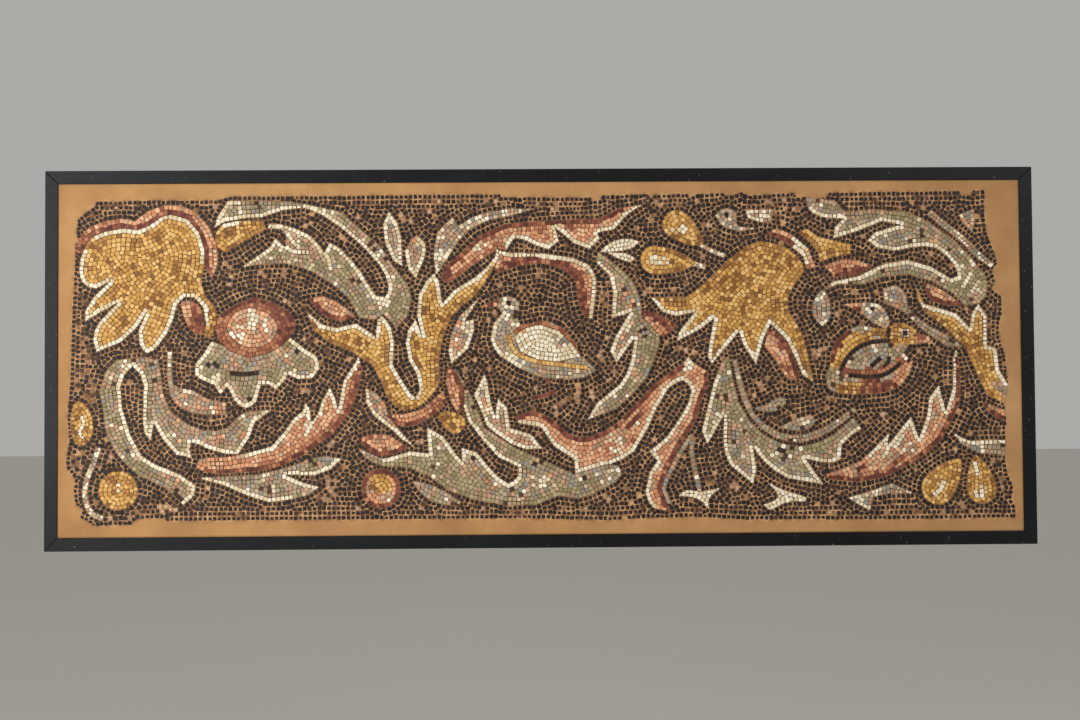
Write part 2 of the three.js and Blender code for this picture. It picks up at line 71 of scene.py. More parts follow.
def add_ramp(material, factor, stops, interpolation="LINEAR"):
    """Colour ramp on a factor; stops are (position, sRGB hex)."""
    node = add_node(material, "ValToRGB", in0=factor)
    ramp = node.color_ramp
    ramp.interpolation = interpolation
    while len(ramp.elements) < len(stops):
        ramp.elements.new(0.5)
    for element, (position, colour) in zip(ramp.elements, stops):
        element.position = position
        element.color = linear(colour)
    return node.outputs["Color"]


def new_material(name):
    """An empty node material, and its shader joined to the output."""
    material = bpy.data.materials.new(name)
    material.use_nodes = True
    material.node_tree.nodes.clear()
    shader = add_node(material, "BsdfPrincipled")
    add_node(material, "OutputMaterial", Surface=shader.outputs["BSDF"])
    return material, shader


def join(material, source, shader, socket):
    """Joins an output socket to the shader's named input."""
    material.node_tree.links.new(source, shader.inputs[socket])


def black_paint():
    """Alkyd enamel brushed on mill-scaled steel: near black, satin, with brush drag and tiny chips."""
    material, shader = new_material("brushed_black_enamel")
    place = add_node(material, "TexCoord").outputs["Object"]
    drag = add_node(material, "Mapping", {"Scale": (9, 60, 60)}, Vector=place).outputs["Vector"]
    brush = add_node(material, "TexNoise", {"Scale": 12.0, "Detail": 4.0}, Vector=drag).outputs["Fac"]
    cloud = add_node(material, "TexNoise", {"Scale": 5.0, "Detail": 5.0}, Vector=place).outputs["Fac"]
    flecks = add_node(material, "TexNoise", {"Scale": 210.0, "Detail": 2.0}, Vector=place).outputs["Fac"]
    chip = add_node(material, "MapRange", {"From Min": 0.74, "From Max": 0.76}, in0=flecks).outputs[0]
    sheen = add_ramp(material, cloud, [(0.3, "#07080a"), (0.55, "#0c0e11"), (0.75, "#14181c")])
    bare = add_ramp(material, brush, [(0.4, "#5c5148"), (0.6, "#8d8478")])
    colour = add_node(material, "Mix", {"data_type": "RGBA"}, in0=chip, in6=sheen, in7=bare)
    join(material, colour.outputs[2], shader, "Base Color")
    gloss = add_node(material, "MapRange", {"To Min": 0.34, "To Max": 0.56}, in0=brush).outputs[0]
    shader.inputs["Specular IOR Level"].default_value = 0.18
    join(material, gloss, shader, "Roughness")
    relief = add_node(material, "Bump", {"Strength": 0.25, "Distance": 0.0004}, Height=brush)
    join(material, relief.outputs["Normal"], shader, "Normal")
    return material


EDGE_ROUND = 0.0009
BARS = ["frame_bar_top", "frame_bar_bottom", "frame_bar_left", "frame_bar_right"]
enamel = black_paint()
for bar in BARS:
    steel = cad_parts[bar].data.copy()
    shape = bmesh.new()
    shape.from_mesh(steel)
    bmesh.ops.remove_doubles(shape, verts=shape.verts, dist=1e-6)
    bmesh.ops.dissolve_limit(shape, angle_limit=0.02, verts=shape.verts, edges=shape.edges)
    bmesh.ops.bevel(shape, geom=shape.edges, offset=EDGE_ROUND, segments=2, affect="EDGES", profile=0.6)
    shape.to_mesh(steel)
    shape.free()
    steel.materials.clear()
    steel.materials.append(enamel)
    piece = bpy.data.objects.new(bar.replace("frame_bar", "steel_angle"), steel)
    bpy.context.scene.collection.objects.link(piece)
    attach(piece, "root")
    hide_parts(bar)


# ---------------------------------------------------------------------------------------------
# Setting out. The pattern is drawn on the bedding before any stone is laid: the outline of every
# patch of the picture, the lines of single colour inside it, and the ragged edge of the field.

# mm, as are all sizes below until a mesh is made: a raster cell, the raster's margin, the step along an
# outline, and how far a point of a front face may lie behind it
CELL = 1.0
MARGIN = 12.0
STEP_ALONG = 1.0
FLAT_WITHIN = 0.05
STEPS_A_SPAN = 6


def face_loops(node):
    """Closed loops round a body's front face, in mm as x and z, with the face on their left.

    They are made of the edges that belong to one front triangle only, followed end to end.
    """
    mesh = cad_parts[node].data
    places = np.empty(len(mesh.vertices) * 3)
    mesh.vertices.foreach_get("co", places)
    corners = np.empty(len(mesh.loops), dtype=np.int64)
    mesh.loops.foreach_get("vertex_index", corners)
    places = np.round(places.reshape(-1, 3) * 1000, 2)
    places, same = np.unique(places, axis=0, return_inverse=True)
    triangles = same.ravel()[corners].reshape(-1, 3)
    front = places[:, 1].min()
    triangles = triangles[(places[triangles, 1] < front + FLAT_WITHIN).all(axis=1)]
    edges = np.concatenate([triangles[:, [0, 1]], triangles[:, [1, 2]], triangles[:, [2, 0]]])
    keys = edges[:, 0] * len(places) + edges[:, 1]
    turned = edges[:, 1] * len(places) + edges[:, 0]
    following = {}
    for start, end in edges[~np.isin(keys, turned)]:
        following.setdefault(start, []).append(end)
    loops = []
    while following:
        start = next(iter(following))
        loop = [start]
        while True:
            ends = following[loop[-1]]
            end = ends.pop()
            if not ends:
                del following[loop[-1]]
            if end == start or end not in following:
                break
            loop.append(end)
        loops.append(places[loop][:, [0, 2]])
    return loops


low, high = (np.array(corner) * 1000 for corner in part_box("ground_tesserae"))
LEFT, BELOW = low[0] - MARGIN, low[2] - MARGIN
COLUMNS = int((high[0] - low[0] + 2 * MARGIN) / CELL)
ROWS = int((high[2] - low[2] + 2 * MARGIN) / CELL)


def inside(loops):
    """Raster of the winding number of closed loops.

    Each edge adds 1 (falling) or takes 1 (rising) in every row at the cell just right of it, and a
    running sum along the row then holds the winding number.
    """
    grid = np.zeros((ROWS, COLUMNS + 1), dtype=np.int32)
    for loop in loops:
        start, end = loop, np.roll(loop, -1, axis=0)
        falls = start[:, 1] > end[:, 1]
        under = np.where(falls[:, None], end, start)
        above = np.where(falls[:, None], start, end)
        first = np.clip(np.ceil((under[:, 1] - BELOW) / CELL - 0.5), 0, ROWS).astype(int)
        last = np.clip(np.ceil((above[:, 1] - BELOW) / CELL - 0.5), 0, ROWS).astype(int)
        count = last - first
        edge = np.repeat(np.arange(len(loop)), count)
        row = np.arange(count.sum()) - np.repeat(np.cumsum(count) - count, count) + first[edge]
        z = BELOW + (row + 0.5) * CELL
        slope = (above[edge, 0] - under[edge, 0]) / (above[edge, 1] - under[edge, 1])
        x = under[edge, 0] + slope * (z - under[edge, 1])
        column = np.clip(np.ceil((x - LEFT) / CELL - 0.5), 0, COLUMNS).astype(int)
        np.add.at(grid, (row, column), np.where(falls[edge], 1, -1))
    return np.cumsum(grid, axis=1)[:, :-1]


def smooth_run(points, closed):
    """Centripetal Catmull-Rom line through points: each span is a cubic whose end slopes come from the
    neighbouring points, with parameter steps the square root of the distance between points."""
    points = np.asarray(points, dtype=float)
    if closed:
        ring = np.concatenate([points[-1:], points, points[:2]])
    else:
        ring = np.concatenate([2 * points[:1] - points[1:2], points, 2 * points[-1:] - points[-2:-1]])
    gaps = np.sqrt(np.maximum(np.linalg.norm(np.diff(ring, axis=0), axis=1), 1e-6))
    spans = len(ring) - 3
    step = np.linspace(0, 1, STEPS_A_SPAN + 1)[None, :-1, None]
    p0, p1, p2, p3 = (ring[shift:shift + spans, None] for shift in range(4))
    g0, g1, g2 = (gaps[shift:shift + spans, None, None] for shift in range(3))
    slope1 = ((p1 - p0) / g0 - (p2 - p0) / (g0 + g1) + (p2 - p1) / g1) * g1
    slope2 = ((p2 - p1) / g1 - (p3 - p1) / (g1 + g2) + (p3 - p2) / g2) * g1
    cubic = (p1 + slope1 * step + (3 * (p2 - p1) - 2 * slope1 - slope2) * step ** 2
             + (2 * (p1 - p2) + slope1 + slope2) * step ** 3)
    run = cubic.reshape(-1, points.shape[1])
    return run if closed else np.concatenate([run, points[-1:]])


TIP = True


def outline(*places):
    """Closed outline through places: smooth, but sharp at those marked TIP."""
    tips = [index for index, place in enumerate(places) if len(place) > 2]
    if not tips:
        return smooth_run(places, True)
    turned = [*places[tips[0]:], *places[:tips[0] + 1]]
    ends = [index for index, place in enumerate(turned) if len(place) > 2]
    runs = [smooth_run([place[:2] for place in turned[start:end + 1]], False)[:-1]
            for start, end in zip(ends, ends[1:])]
    return np.concatenate(runs)


def strip(places, width):
    """Outline of a strip of even width along a smooth line: the line moved half a width each way."""
    spine = smooth_run(places, False)
    along = np.gradient(spine, axis=0)
    along /= np.linalg.norm(along, axis=1)[:, None] + 1e-9
    side = np.stack([-along[:, 1], along[:, 0]], axis=1) * width / 2
    return np.concatenate([spine - side, (spine + side)[::-1]])


def counterclockwise(loop):
    """The loop, turned round if its area, half the sum of x0 z1 - x1 z0 over its sides, is negative."""
    ahead = np.roll(loop, -1, axis=0)
    area = (loop[:, 0] * ahead[:, 1] - ahead[:, 0] * loop[:, 1]).sum()
    return loop if area > 0 else loop[::-1]


def walk(loop):
    """Points about a millimetre apart along a closed loop, with the loop's direction at each."""
    ahead = np.roll(loop, -1, axis=0)
    length = np.linalg.norm(ahead - loop, axis=1)
    count = np.maximum(np.ceil(length / STEP_ALONG), 1).astype(int)
    edge = np.repeat(np.arange(len(loop)), count)
    part = (np.arange(count.sum()) - np.repeat(np.cumsum(count) - count, count) + 0.5) / count[edge]
    points = loop[edge] + (ahead - loop)[edge] * part[:, None]
    directions = (ahead - loop)[edge] / (length[edge, None] + 1e-9)
    return points, directions


def cell_of(points):
    """Row and column of the cells that hold the points."""
    column = np.clip((points[:, 0] - LEFT) / CELL, 0, COLUMNS - 1).astype(int)
    row = np.clip((points[:, 1] - BELOW) / CELL, 0, ROWS - 1).astype(int)
    return row, column


inlays = sorted(set(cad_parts) - {*BARS, "mortar_slab", "ground_tesserae"})
figure_loops = {node: face_loops(node) for node in inlays}
ground_loops = face_loops("ground_tesserae")
field_edge = max(ground_loops, key=lambda loop: np.ptp(loop[:, 0]))


# ---------------------------------------------------------------------------------------------
# The picture. Each patch is named for its inlay, with its main stone or mixture of stones, and then
# the touches of others: an edge is rows of stones along a stretch of the patch's outline, a line is
# one row inside it, and an area is the stones that fall within corners. Later touches win.

# each mixture's kinds of stone, with the share of each
MIXTURES = {
    "green": {"olive": 0.58, "grey": 0.15, "rose": 0.19, "cream": 0.05, "umber": 0.03},
    "slate": {"grey": 0.52, "rose": 0.26, "olive": 0.14, "cream": 0.04, "umber": 0.04},
    "blush": {"rose": 0.5, "grey": 0.26, "coral": 0.14, "cream": 0.1},
    "gold": {"ochre": 0.84, "honey": 0.16},
    "brass": {"honey": 0.6, "ochre": 0.4},
    "flame": {"coral": 0.84, "rose": 0.08, "russet": 0.08},
    "pink": {"coral": 0.56, "rose": 0.37, "cream": 0.07},
    "pale": {"grey": 0.42, "rose": 0.26, "cream": 0.32},
    "wine": {"maroon": 0.74, "russet": 0.26},
    "night": {"black": 0.54, "charcoal": 0.26, "umber": 0.14, "tan": 0.02, "rose": 0.04},
    "first_row": {"black": 0.8, "charcoal": 0.14, "umber": 0.06},
    "margin": {"black": 0.34, "charcoal": 0.18, "umber": 0.2, "tan": 0.28},
}


def edge(stone, *stops, rows=1, share=1.0):
    """Rows of a stone along the outline, from stop to stop the shorter way, or a share of their stones."""
    return "edge", stone, stops, rows, share


def line(stone, *stops, width=8.5):
    """One row of a stone inside the patch, along a smooth line through the stops."""
    return "line", stone, stops, width, 1.0


def area(stone, *corners, share=1.0):
    """The stones inside straight sides from corner to corner, or a share of them."""
    return "area", stone, corners, 0, share


PICTURE = {
    "left_blossom_petal": ("wine", [area("flame", (-690, 120), (-662, 120), (-664, 46), (-690, 60))]),
    "left_blossom": ("gold", [
        area("brass", (-648, 124), (-600, 122), (-600, 36), (-636, 36), (-634, 72)),
        area("brass", (-862, 242), (-800, 246), (-800, 222), (-862, 214), share=0.7),
        area("brass", (-770, 178), (-735, 178), (-735, 153), (-770, 153), share=0.7),
        area("brass", (-702, 178), (-686, 178), (-686, 142), (-702, 142), share=0.7),
        area("brass", (-742, 128), (-710, 128), (-710, 114), (-742, 114), share=0.8),
        area("brass", (-690, 252), (-672, 252), (-672, 222), (-690, 222), share=0.8),
        edge("cream", (-868, 205), (-709, 51), (-636, 70)),
        edge("cream", (-845, 232), (-640, 182)),
    ]),
    "left_blossom_crown": ("flame", [
        edge("wine", (-876, 205), (-626, 160)),
        area("wine", (-885, 200), (-885, 262), (-862, 262), (-862, 200)),
    ]),
    "curled_leaf_lining": ("gold", [
        edge("brass", (-598, 204), (-522, 248)),
        area("cream", (-602, 250), (-600, 280), (-572, 280), (-575, 252)),
    ]),
    "acanthus_leaf": ("green", [
        area("slate", (-600, 262), (-540, 300), (-440, 296), (-360, 250), (-310, 190), (-300, 150),
             (-340, 205), (-400, 262), (-450, 288), (-520, 272), share=0.6),
        area("blush", (-500, 250), (-460, 244), (-420, 205), (-440, 196), (-480, 210), share=0.7),
        area("cream", (-600, 302), (-565, 302), (-565, 288), (-604, 288), share=0.7),
        area("cream", (-312, 110), (-288, 110), (-288, 96), (-312, 96)),
        edge("cream", (-620, 250), (-594, 302)),
        edge("cream", (-612, 250), (-519, 249), (-412, 201)),
        line("cream", (-412, 203), (-404, 190), (-401, 176)),
        edge("cream", (-567, 176), (-485, 213)),
        line("cream", (-486, 214), (-470, 205), (-440, 203)),
        line("cream", (-482, 240), (-470, 222), (-458, 211)),
    ]),
    "pomegranate_heart": ("pink", [
        area("cream", (-556, 97), (-538, 97), (-538, 56), (-556, 56)),
        area("cream", (-594, 66), (-562, 66), (-562, 28), (-594, 28), share=0.6),
        area("cream", (-530, 84), (-518, 84), (-518, 54), (-530, 54), share=0.6),
    ]),
    "pomegranate": ("russet", [
        area("maroon", (-506, 120), (-500, 0), (-440, 0), (-440, 120), share=0.8),
        edge("maroon", (-610, 84), (-480, 92)),
    ]),
    "pomegranate_calyx": ("green", [
        area("blush", (-600, -30), (-600, 20), (-480, 20), (-470, -10), (-500, -30), share=0.5),
        edge("cream", (-626, 34), (-609, -66)),
        edge("cream", (-596, -52), (-450, 20), (-480, 44)),
        area("cream", (-642, -20), (-610, -22), (-608, -46), (-640, -44), share=0.8),
        line("black", (-590, -26), (-563, -28), (-536, -25)),
        area("black", (-636, -13), (-612, -13), (-612, -2), (-636, -7)),
    ]),
    "arc_leaf": ("green", [
        area("blush", (-782, 0), (-756, 0), (-756, -150), (-700, -215), (-660, -236), (-720, -228),
             (-780, -160), (-796, -90), share=0.75),
        area("blush", (-740, -10), (-715, -20), (-700, -95), (-640, -130), (-590, -128), (-520, -97),
             (-576, -160), (-664, -165), (-735, -130), share=0.6),
        edge("cream", (-655, -240), (-550, -130), (-514, -97)),
        edge("cream", (-655, -240), (-678, -274)),
    ]),
    "small_leaf": ("blush", [area("pale", (-712, 20), (-696, 20), (-696, -60), (-712, -60))]),
    "flame_leaf": ("flame", [
        area("pink", (-560, -178), (-470, -140), (-440, -110), (-440, -160), (-500, -196), share=0.5),
        edge("russet", (-347, 0), (-550, -208), rows=2, share=0.8),
        edge("wine", (-347, -10), (-640, -212)),
        edge("cream", (-557, -177), (-347, 5)),
        line("cream", (-449, -147), (-440, -128), (-425, -105)),
    ]),
    "double_leaf": ("slate", [
        edge("cream", (-654, -223), (-481, -266)),
        edge("cream", (-486, -219), (-380, -189), (-422, -242)),
    ]),
    "round_fruit": ("gold", [
        area("cream", (-808, -232), (-794, -232), (-794, -256), (-808, -256), share=0.5),
    ]),
    "long_fruit": ("brass", [line("cream", (-871, -105), (-866, -120), (-874, -134), (-868, -148), width=7)]),
    "rose_leaf_left": ("flame", [edge("wine", (-352, 81), (-405, 78), (-440, 113))]),
    "great_calyx": ("gold", [
        edge("brass", (-448, 95), (-246, -97)),
        edge("brass", (-246, -97), (-80, 190), share=0.7),
        area("brass", (-262, -30), (-240, -40), (-232, 20), (-246, 60), (-258, 40), share=0.6),
        edge("cream", (-435, 82), (-275, -30)),
        edge("cream", (-270, -34), (-82, 211)),
        area("cream", (-286, -20), (-266, -20), (-262, -40), (-282, -40)),
    ]),
    "calyx_collar": ("flame", [edge("wine", (-296, -106), (-205, -108), (-182, -80))]),
    "pointed_leaf_low": ("blush", [edge("cream", (-334, -56), (-246, -164))]),
    "rose_leaf_low": ("flame", [edge("wine", (-349, -152), (-308, -185), (-253, -169))]),
    "round_flower": ("wine", [
        area("pink", (-332, -268), (-336, -238), (-306, -214), (-278, -236), (-282, -268), (-306, -276)),
        area("gold", (-324, -226), (-306, -216), (-288, -226), (-286, -250), (-306, -256), (-326, -248)),
    ]),
    "stem_leaf_rose": ("flame", [edge("wine", (-177, -14), (-148, -90), (-158, -107))]),
    "white_bud": ("blush", [edge("cream", (-109, -30), (-20, -146), (-129, -70), (-109, -30))]),
    "scroll_leaf": ("green", [
        area("blush", (-150, -95), (-110, -150), (-50, -205), (40, -222), (120, -210), (120, -240),
             (20, -240), (-60, -262), (-130, -230), (-200, -190), (-150, -185), share=0.5),
        area("pale", (20, -212), (135, -206), (140, -232), (110, -245), (20, -248), share=0.6),
        area("cream", (-20, -222), (5, -222), (5, -245), (-20, -245), share=0.6),
        edge("cream", (-149, -92), (-300, -190)),
    ]),
    "white_leaf_mid": ("blush", [edge("cream", (-119, 114), (-128, 52), (-177, 14))]),
    "bird_wing": ("cream", [
        area("slate", (20, 62), (80, 62), (80, 20), (20, 20), share=0.5),
        area("ochre", (-44, 58), (-32, 58), (-32, 46), (-44, 46)),
    ]),
    "bird": ("slate", [
        edge("russet", (-58, 58), (76, 2)),
        edge("pale", (-74, 86), (-42, -20), rows=2),
        edge("cream", (-74, 86), (-42, -20)),
        area("pale", (30, -28), (100, -20), (84, -42), (30, -42)),
        line("ochre", (-62, 44), (-57, 22), (-42, 5), (-10, -7), (40, -14), (88, -20)),
        area("maroon", (-120, 110), (-84, 114), (-84, 100), (-120, 98)),
        area("coral", (-120, 98), (-84, 102), (-80, 90), (-120, 92)),
        area("cream", (-74, 110), (-55, 112), (-55, 94), (-74, 94)),
        area("black", (-67, 108), (-58, 108), (-58, 98), (-67, 98)),
    ]),
    "ribbon_leaf": ("flame", [
        area("cream", (-136, 204), (-104, 204), (-104, 219), (-136, 219), share=0.8),
        edge("russet", (-180, 148), (-82, 207), share=0.8),
        edge("wine", (-190, 155), (150, 284)),
        area("wine", (-195, 140), (-172, 140), (-172, 190), (-195, 190)),
        edge("cream", (-66, 206), (194, 291)),
    ]),
    "ribbon_arch": ("flame", [
        edge("wine", (-88, 162), (82, 78), rows=2),
        edge("cream", (-84, 205), (97, 73)),
    ]),
    "spear_leaf_a": ("slate", [edge("cream", (-289, 280), (-264, 176), (-297, 222), (-289, 280))]),
    "spear_leaf_b": ("blush", [edge("cream", (-235, 235), (-238, 152), (-259, 204))]),
    "spear_leaf_c": ("pale", []),
    "plume_leaf": ("green", [
        area("blush", (120, 180), (170, 130), (180, 70), (160, 20), (200, 0), (170, -40), (120, -75),
             (150, 60), (140, 140), share=0.7),
        area("coral", (150, 130), (180, 120), (180, 60), (160, 60), share=0.35),
        edge("cream", (104, 182), (103, -88), (86, -118)),
    ]),
    "rose_leaf_mid": ("wine", [area("coral", (194, 78), (230, 62), (244, 40), (204, 50), (190, 60))]),
    "flame_scroll": ("flame", [
        area("pink", (60, -150), (150, -135), (200, -90), (200, -120), (150, -180), (70, -195), share=0.5),
        edge("wine", (-51, -112), (279, 0)),
        edge("wine", (314, -28), (242, -294)),
        area("cream", (262, -2), (292, -2), (288, -26), (272, -30)),
        edge("cream", (-46, -124), (210, -287)),
        area("cream", (128, -152), (152, -152), (152, -182), (128, -182), share=0.7),
        line("maroon", (190, -104), (160, -136)),
    ]),
    "pear_upper": ("gold", [
        edge("brass", (259, 226), (290, 255), (270, 278)),
        area("cream", (251, 252), (281, 252), (281, 237), (251, 237), share=0.9),
    ]),
    "pear_lower": ("gold", [
        edge("brass", (216, 158), (243, 180), (240, 200)),
        area("cream", (204, 192), (242, 192), (242, 179), (204, 179), share=0.9),
    ]),
    "blossom_petal_right": ("flame", [
        area("russet", (455, -18), (495, -18), (495, -48), (455, -48), share=0.6),
        edge("wine", (436, 52), (492, -44), rows=1.6),
    ]),
    "right_blossom": ("gold", [
        edge("brass", (250, 113), (492, 187), rows=2, share=0.8),
        edge("brass", (492, 187), (517, -50), rows=1.5),
        area("brass", (372, 60), (392, 64), (440, 150), (420, 156), share=0.5),
        area("brass", (330, 90), (350, 90), (400, 180), (376, 176), share=0.5),
        edge("cream", (209, 113), (466, 32), (500, -40)),
    ]),
    "blossom_eyebrow": ("flame", [
        edge("wine", (427, 231), (500, 190)),
        area("cream", (474, 232), (496, 232), (514, 178), (498, 176), (486, 206), share=0.9),
        area("wine", (496, 178), (512, 178), (512, 164), (496, 164)),
    ]),
    "ochre_trefoil": ("gold", [edge("brass", (489, 236), (531, 179))]),
    "rose_leaf_right": ("flame", [edge("wine", (560, 150), (634, 171), rows=2)]),
    "upper_leaf": ("green", [
        area("slate", (506, 303), (560, 296), (600, 270), (650, 262), (600, 244), (560, 230), share=0.5),
        area("slate", (620, 210), (640, 228), (700, 240), (780, 200), (800, 160), (760, 205), (700, 206),
             share=0.5),
        area("slate", (570, 148), (610, 152), (700, 180), (784, 148), (745, 155), (700, 166), (640, 158),
             share=0.8),
        area("coral", (742, 224), (758, 224), (758, 208), (742, 208)),
        edge("cream", (512, 280), (556, 141)),
        line("cream", (822, 158), (804, 128)),
        line("cream", (837, 143), (821, 119)),
        area("cream", (833, 126), (843, 126), (843, 114), (833, 114)),
    ]),
    "duck": ("slate", [
        area("green", (540, -18), (580, -18), (580, -50), (560, -72), (540, -60)),
        area("brass", (556, -54), (600, -50), (624, -56), (624, -74), (556, -74)),
        area("wine", (596, -40), (640, -46), (672, -50), (712, -10), (712, -70), (600, -80), (614, -56)),
        area("coral", (662, -46), (676, -30), (692, -14), (710, -8), (704, -38), (682, -54)),
        area("wine", (545, -20), (548, 20), (584, 56), (602, 56), (578, 34), (562, 4), (556, -10)),
        area("green", (602, 64), (630, 60), (630, 46), (602, 46)),
        area("brass", (628, 56), (658, 54), (658, 34), (628, 38)),
        area("gold", (552, -30), (556, 0), (578, 30), (600, 44), (628, 46), (628, 30), (600, 18), (582, 0),
             (568, -28)),
        area("russet", (572, -38), (576, -26), (640, -24), (670, -14), (684, -4), (690, -14), (668, -30),
             (640, -36)),
        area("gold", (664, 70), (722, 66), (714, 40), (718, 20), (664, 20)),
        area("coral", (712, 42), (750, 36), (735, 20), (706, 22)),
        area("wine", (712, 44), (750, 38), (748, 31), (714, 33)),
        line("black", (568, -30), (582, -4), (600, 13), (620, 23), (640, 27), (664, 28), width=8),
        line("black", (662, 52), (661, 42), (661, 33), width=8),
        line("black", (584, -37), (620, -40), (650, -37), (670, -26), (684, -14), width=8),
        line("black", (646, -4), (636, -13), (627, -21), width=8),
        line("black", (662, -2), (660, -12), (650, -22), width=7),
        line("black", (689, 43), (698, 43), width=9),
        line("cream", (685, 43), (702, 43), width=16),
    ]),
    "branch_leaf": ("slate", [area("blush", (652, 134), (700, 134), (704, 90), (655, 98), share=0.6)]),
    "upper_stem": ("pale", []),
    "rose_leaf_edge": ("flame", [edge("wine", (729, 141), (768, 96), (806, 94))]),
    "edge_leaf": ("gold", [
        edge("brass", (717, 128), (884, -94), rows=1.6),
        area("brass", (800, 56), (820, 46), (842, 20), (846, -40), (826, -30), (806, 20), share=0.7),
        area("blush", (850, -50), (888, -60), (884, -94), (850, -76), share=0.4),
        edge("cream", (730, 98), (889, -58)),
    ]),
    "tall_leaf": ("green", [
        area("slate", (345, -120), (360, -200), (400, -240), (408, -180), (380, -150), share=0.6),
        area("slate", (470, -225), (535, -240), (500, -195), (480, -190), share=0.7),
        area("slate", (560, -150), (610, -140), (592, -118), (560, -140), share=0.5),
        area("pale", (326, -100), (348, -108), (348, -150), (330, -145), share=0.7),
        edge("cream", (330, -45), (518, -222), (607, -139)),
    ]),
    "tendril": ("slate", []),
    "pink_leaf": ("pink", [
        area("flame", (560, -200), (600, -190), (640, -200), (640, -228), (540, -236), share=0.6),
        area("flame", (740, -130), (780, -120), (760, -165), (730, -160), share=0.7),
        area("flame", (676, -196), (704, -190), (712, -206), (684, -216)),
        line("wine", (694, -186), (676, -200), (654, -216)),
        edge("wine", (790, 12), (532, -227)),
        area("wine", (590, -214), (636, -206), (640, -236), (570, -242), share=0.35),
        area("cream", (660, -168), (680, -146), (696, -150), (668, -186), share=0.9),
        edge("cream", (620, -188), (790, 12)),
        line("cream", (658, -172), (655, -184), (646, -195)),
    ]),
    "low_leaf": ("pale", []),
    "pear_edge_left": ("gold", [
        edge("brass", (752, -284), (795, -200)),
        line("cream", (764, -238), (757, -254), (744, -267), width=10),
    ]),
    "pear_edge_right": ("gold", [
        edge("brass", (838, -190), (846, -282)),
        line("cream", (822, -203), (829, -230)),
        line("cream", (834, -246), (836, -272), width=9),
        line("cream", (822, -256), (827, -272)),
    ]),
    "edge_stem_leaf": ("slate", [edge("cream", (790, -152), (884, -162))]),
}

# Loose leaves, stems and scraps on the ground between the large figures: each has its kind, its
# stones, its touches and its outline.
SMALL_FIGURES = {
    "small_bird_head": ("grey", "pale", [
        area("coral", (570, 102), (608, 102), (610, 92), (570, 92)),
        area("maroon", (570, 92), (610, 92), (610, 80), (570, 80)),
        area("umber", (624, 96), (632, 96), (632, 86), (624, 86)),
        area("cream", (622, 86), (634, 86), (634, 79), (622, 79)),
    ], outline((577, 98, TIP), (618, 101), (648, 95), (664, 62), (656, 50, TIP), (634, 62), (608, 82))),
    "drop_leaf": ("grey", "pale", [], outline(
        (536, 126), (550, 104), (548, 70), (535, 56, TIP), (519, 74), (518, 100))),
    "leaflet_upper": ("cream", "cream", [], outline(
        (111, 200, TIP), (134, 219), (167, 226), (188, 220, TIP), (174, 208), (141, 201))),
    "leaflet_lower": ("cream", "cream", [], outline(
        (127, 199), (162, 197), (177, 189), (172, 181), (155, 185), (139, 192))),
    "trefoil_left": ("cream", "cream", [], outline(
        (256, -264, TIP), (274, -253), (298, -256), (338, -249, TIP), (316, -270), (316, -291, TIP),
        (294, -270))),
    "trefoil_right": ("cream", "cream", [], outline(
        (431, -241, TIP), (462, -256), (501, -270), (498, -277, TIP), (466, -277), (430, -291),
        (418, -282, TIP), (446, -268))),
    "trefoil_stem": ("grey", "slate", [], strip(
        [(284, -160), (283, -174), (285, -193), (290, -218), (295, -241), (298, -256)], 9)),
    "scroll_stem": ("grey", "slate", [], strip(
        [(284, -148), (265, -177), (250, -203), (234, -236), (230, -250), (234, -265), (241, -279)], 8)),
    "tendril_leaf_low": ("grey", "slate", [], outline(
        (450, -137, TIP), (478, -121), (512, -112, TIP), (519, -126), (497, -141))),
    "tendril_leaf_high": ("grey", "slate", [], outline(
        (402, -101, TIP), (433, -89), (442, -82), (459, -79), (464, -87), (459, -96), (440, -105))),
    "ochre_scrap": ("ochre", "brass", [], outline(
        (-199, -112, TIP), (-191, -102), (-160, -105), (-146, -118), (-152, -138), (-172, -142))),
    "edge_rose_leaf": ("coral", "pink", [
        edge("wine", (838, -88), (850, -108), (882, -128)),
    ], outline((838, -88, TIP), (882, -106, TIP), (882, -128, TIP), (850, -108))),
    "fruit_stalk_left": ("grey", "pale", [], strip(
        [(-838, -165), (-848, -195), (-861, -228), (-863, -262), (-851, -288), (-830, -299)], 10)),
    "hooded_leaf_left": ("grey", "pale", [
        area("black", (352, 271), (361, 271), (361, 263), (352, 263)),
    ], outline((332, 270, TIP), (352, 283), (373, 274), (374, 251), (410, 244, TIP), (376, 240), (347, 250))),
    "hooded_leaf_right": ("grey", "pale", [], outline(
        (392, 280, TIP), (440, 281, TIP), (440, 254, TIP), (412, 258), (394, 266))),
    "scroll_scraps": ("grey", "slate", [], outline(
        (-244, -234), (-212, -240), (-170, -262), (-150, -278), (-186, -277), (-222, -262))),
    "hanging_leaf": ("grey", "blush", [], outline(
        (800, 268, TIP), (828, 280, TIP), (829, 250), (824, 236, TIP), (808, 252))),
    "pear_stalk_upper": ("grey", "pale", [], strip([(303, 214), (327, 201), (350, 192)], 8)),
    "pear_stalk_lower": ("grey", "pale", [], strip([(290, 178), (314, 170)], 9)),
    "bird_foot_front": ("maroon", "maroon", [], strip([(7, -37), (14, -50)], 7)),
    "bird_foot_back": ("maroon", "maroon", [], strip([(-20, -77), (6, -72), (27, -63)], 7)),
}


# ---------------------------------------------------------------------------------------------
# Laying the stones. Rows follow the nearest outline, as a mosaicist lays them, and each stone is
# squared to its row. The ground's stones are laid wide apart and the picture's close together.

# from stone to stone; the part of a pitch that a stone keeps clear in its row, or in a gap between rows;
# and the cells each way in which a stone looks for its own
FIGURE_PITCH, GROUND_PITCH = 8.2, 9.2
ROW_CLEAR, GAP_CLEAR = 0.93, 0.72
SETTLING_ROUNDS = 10
GROUND = 1
REACH = int(1.08 * GROUND_PITCH / CELL)

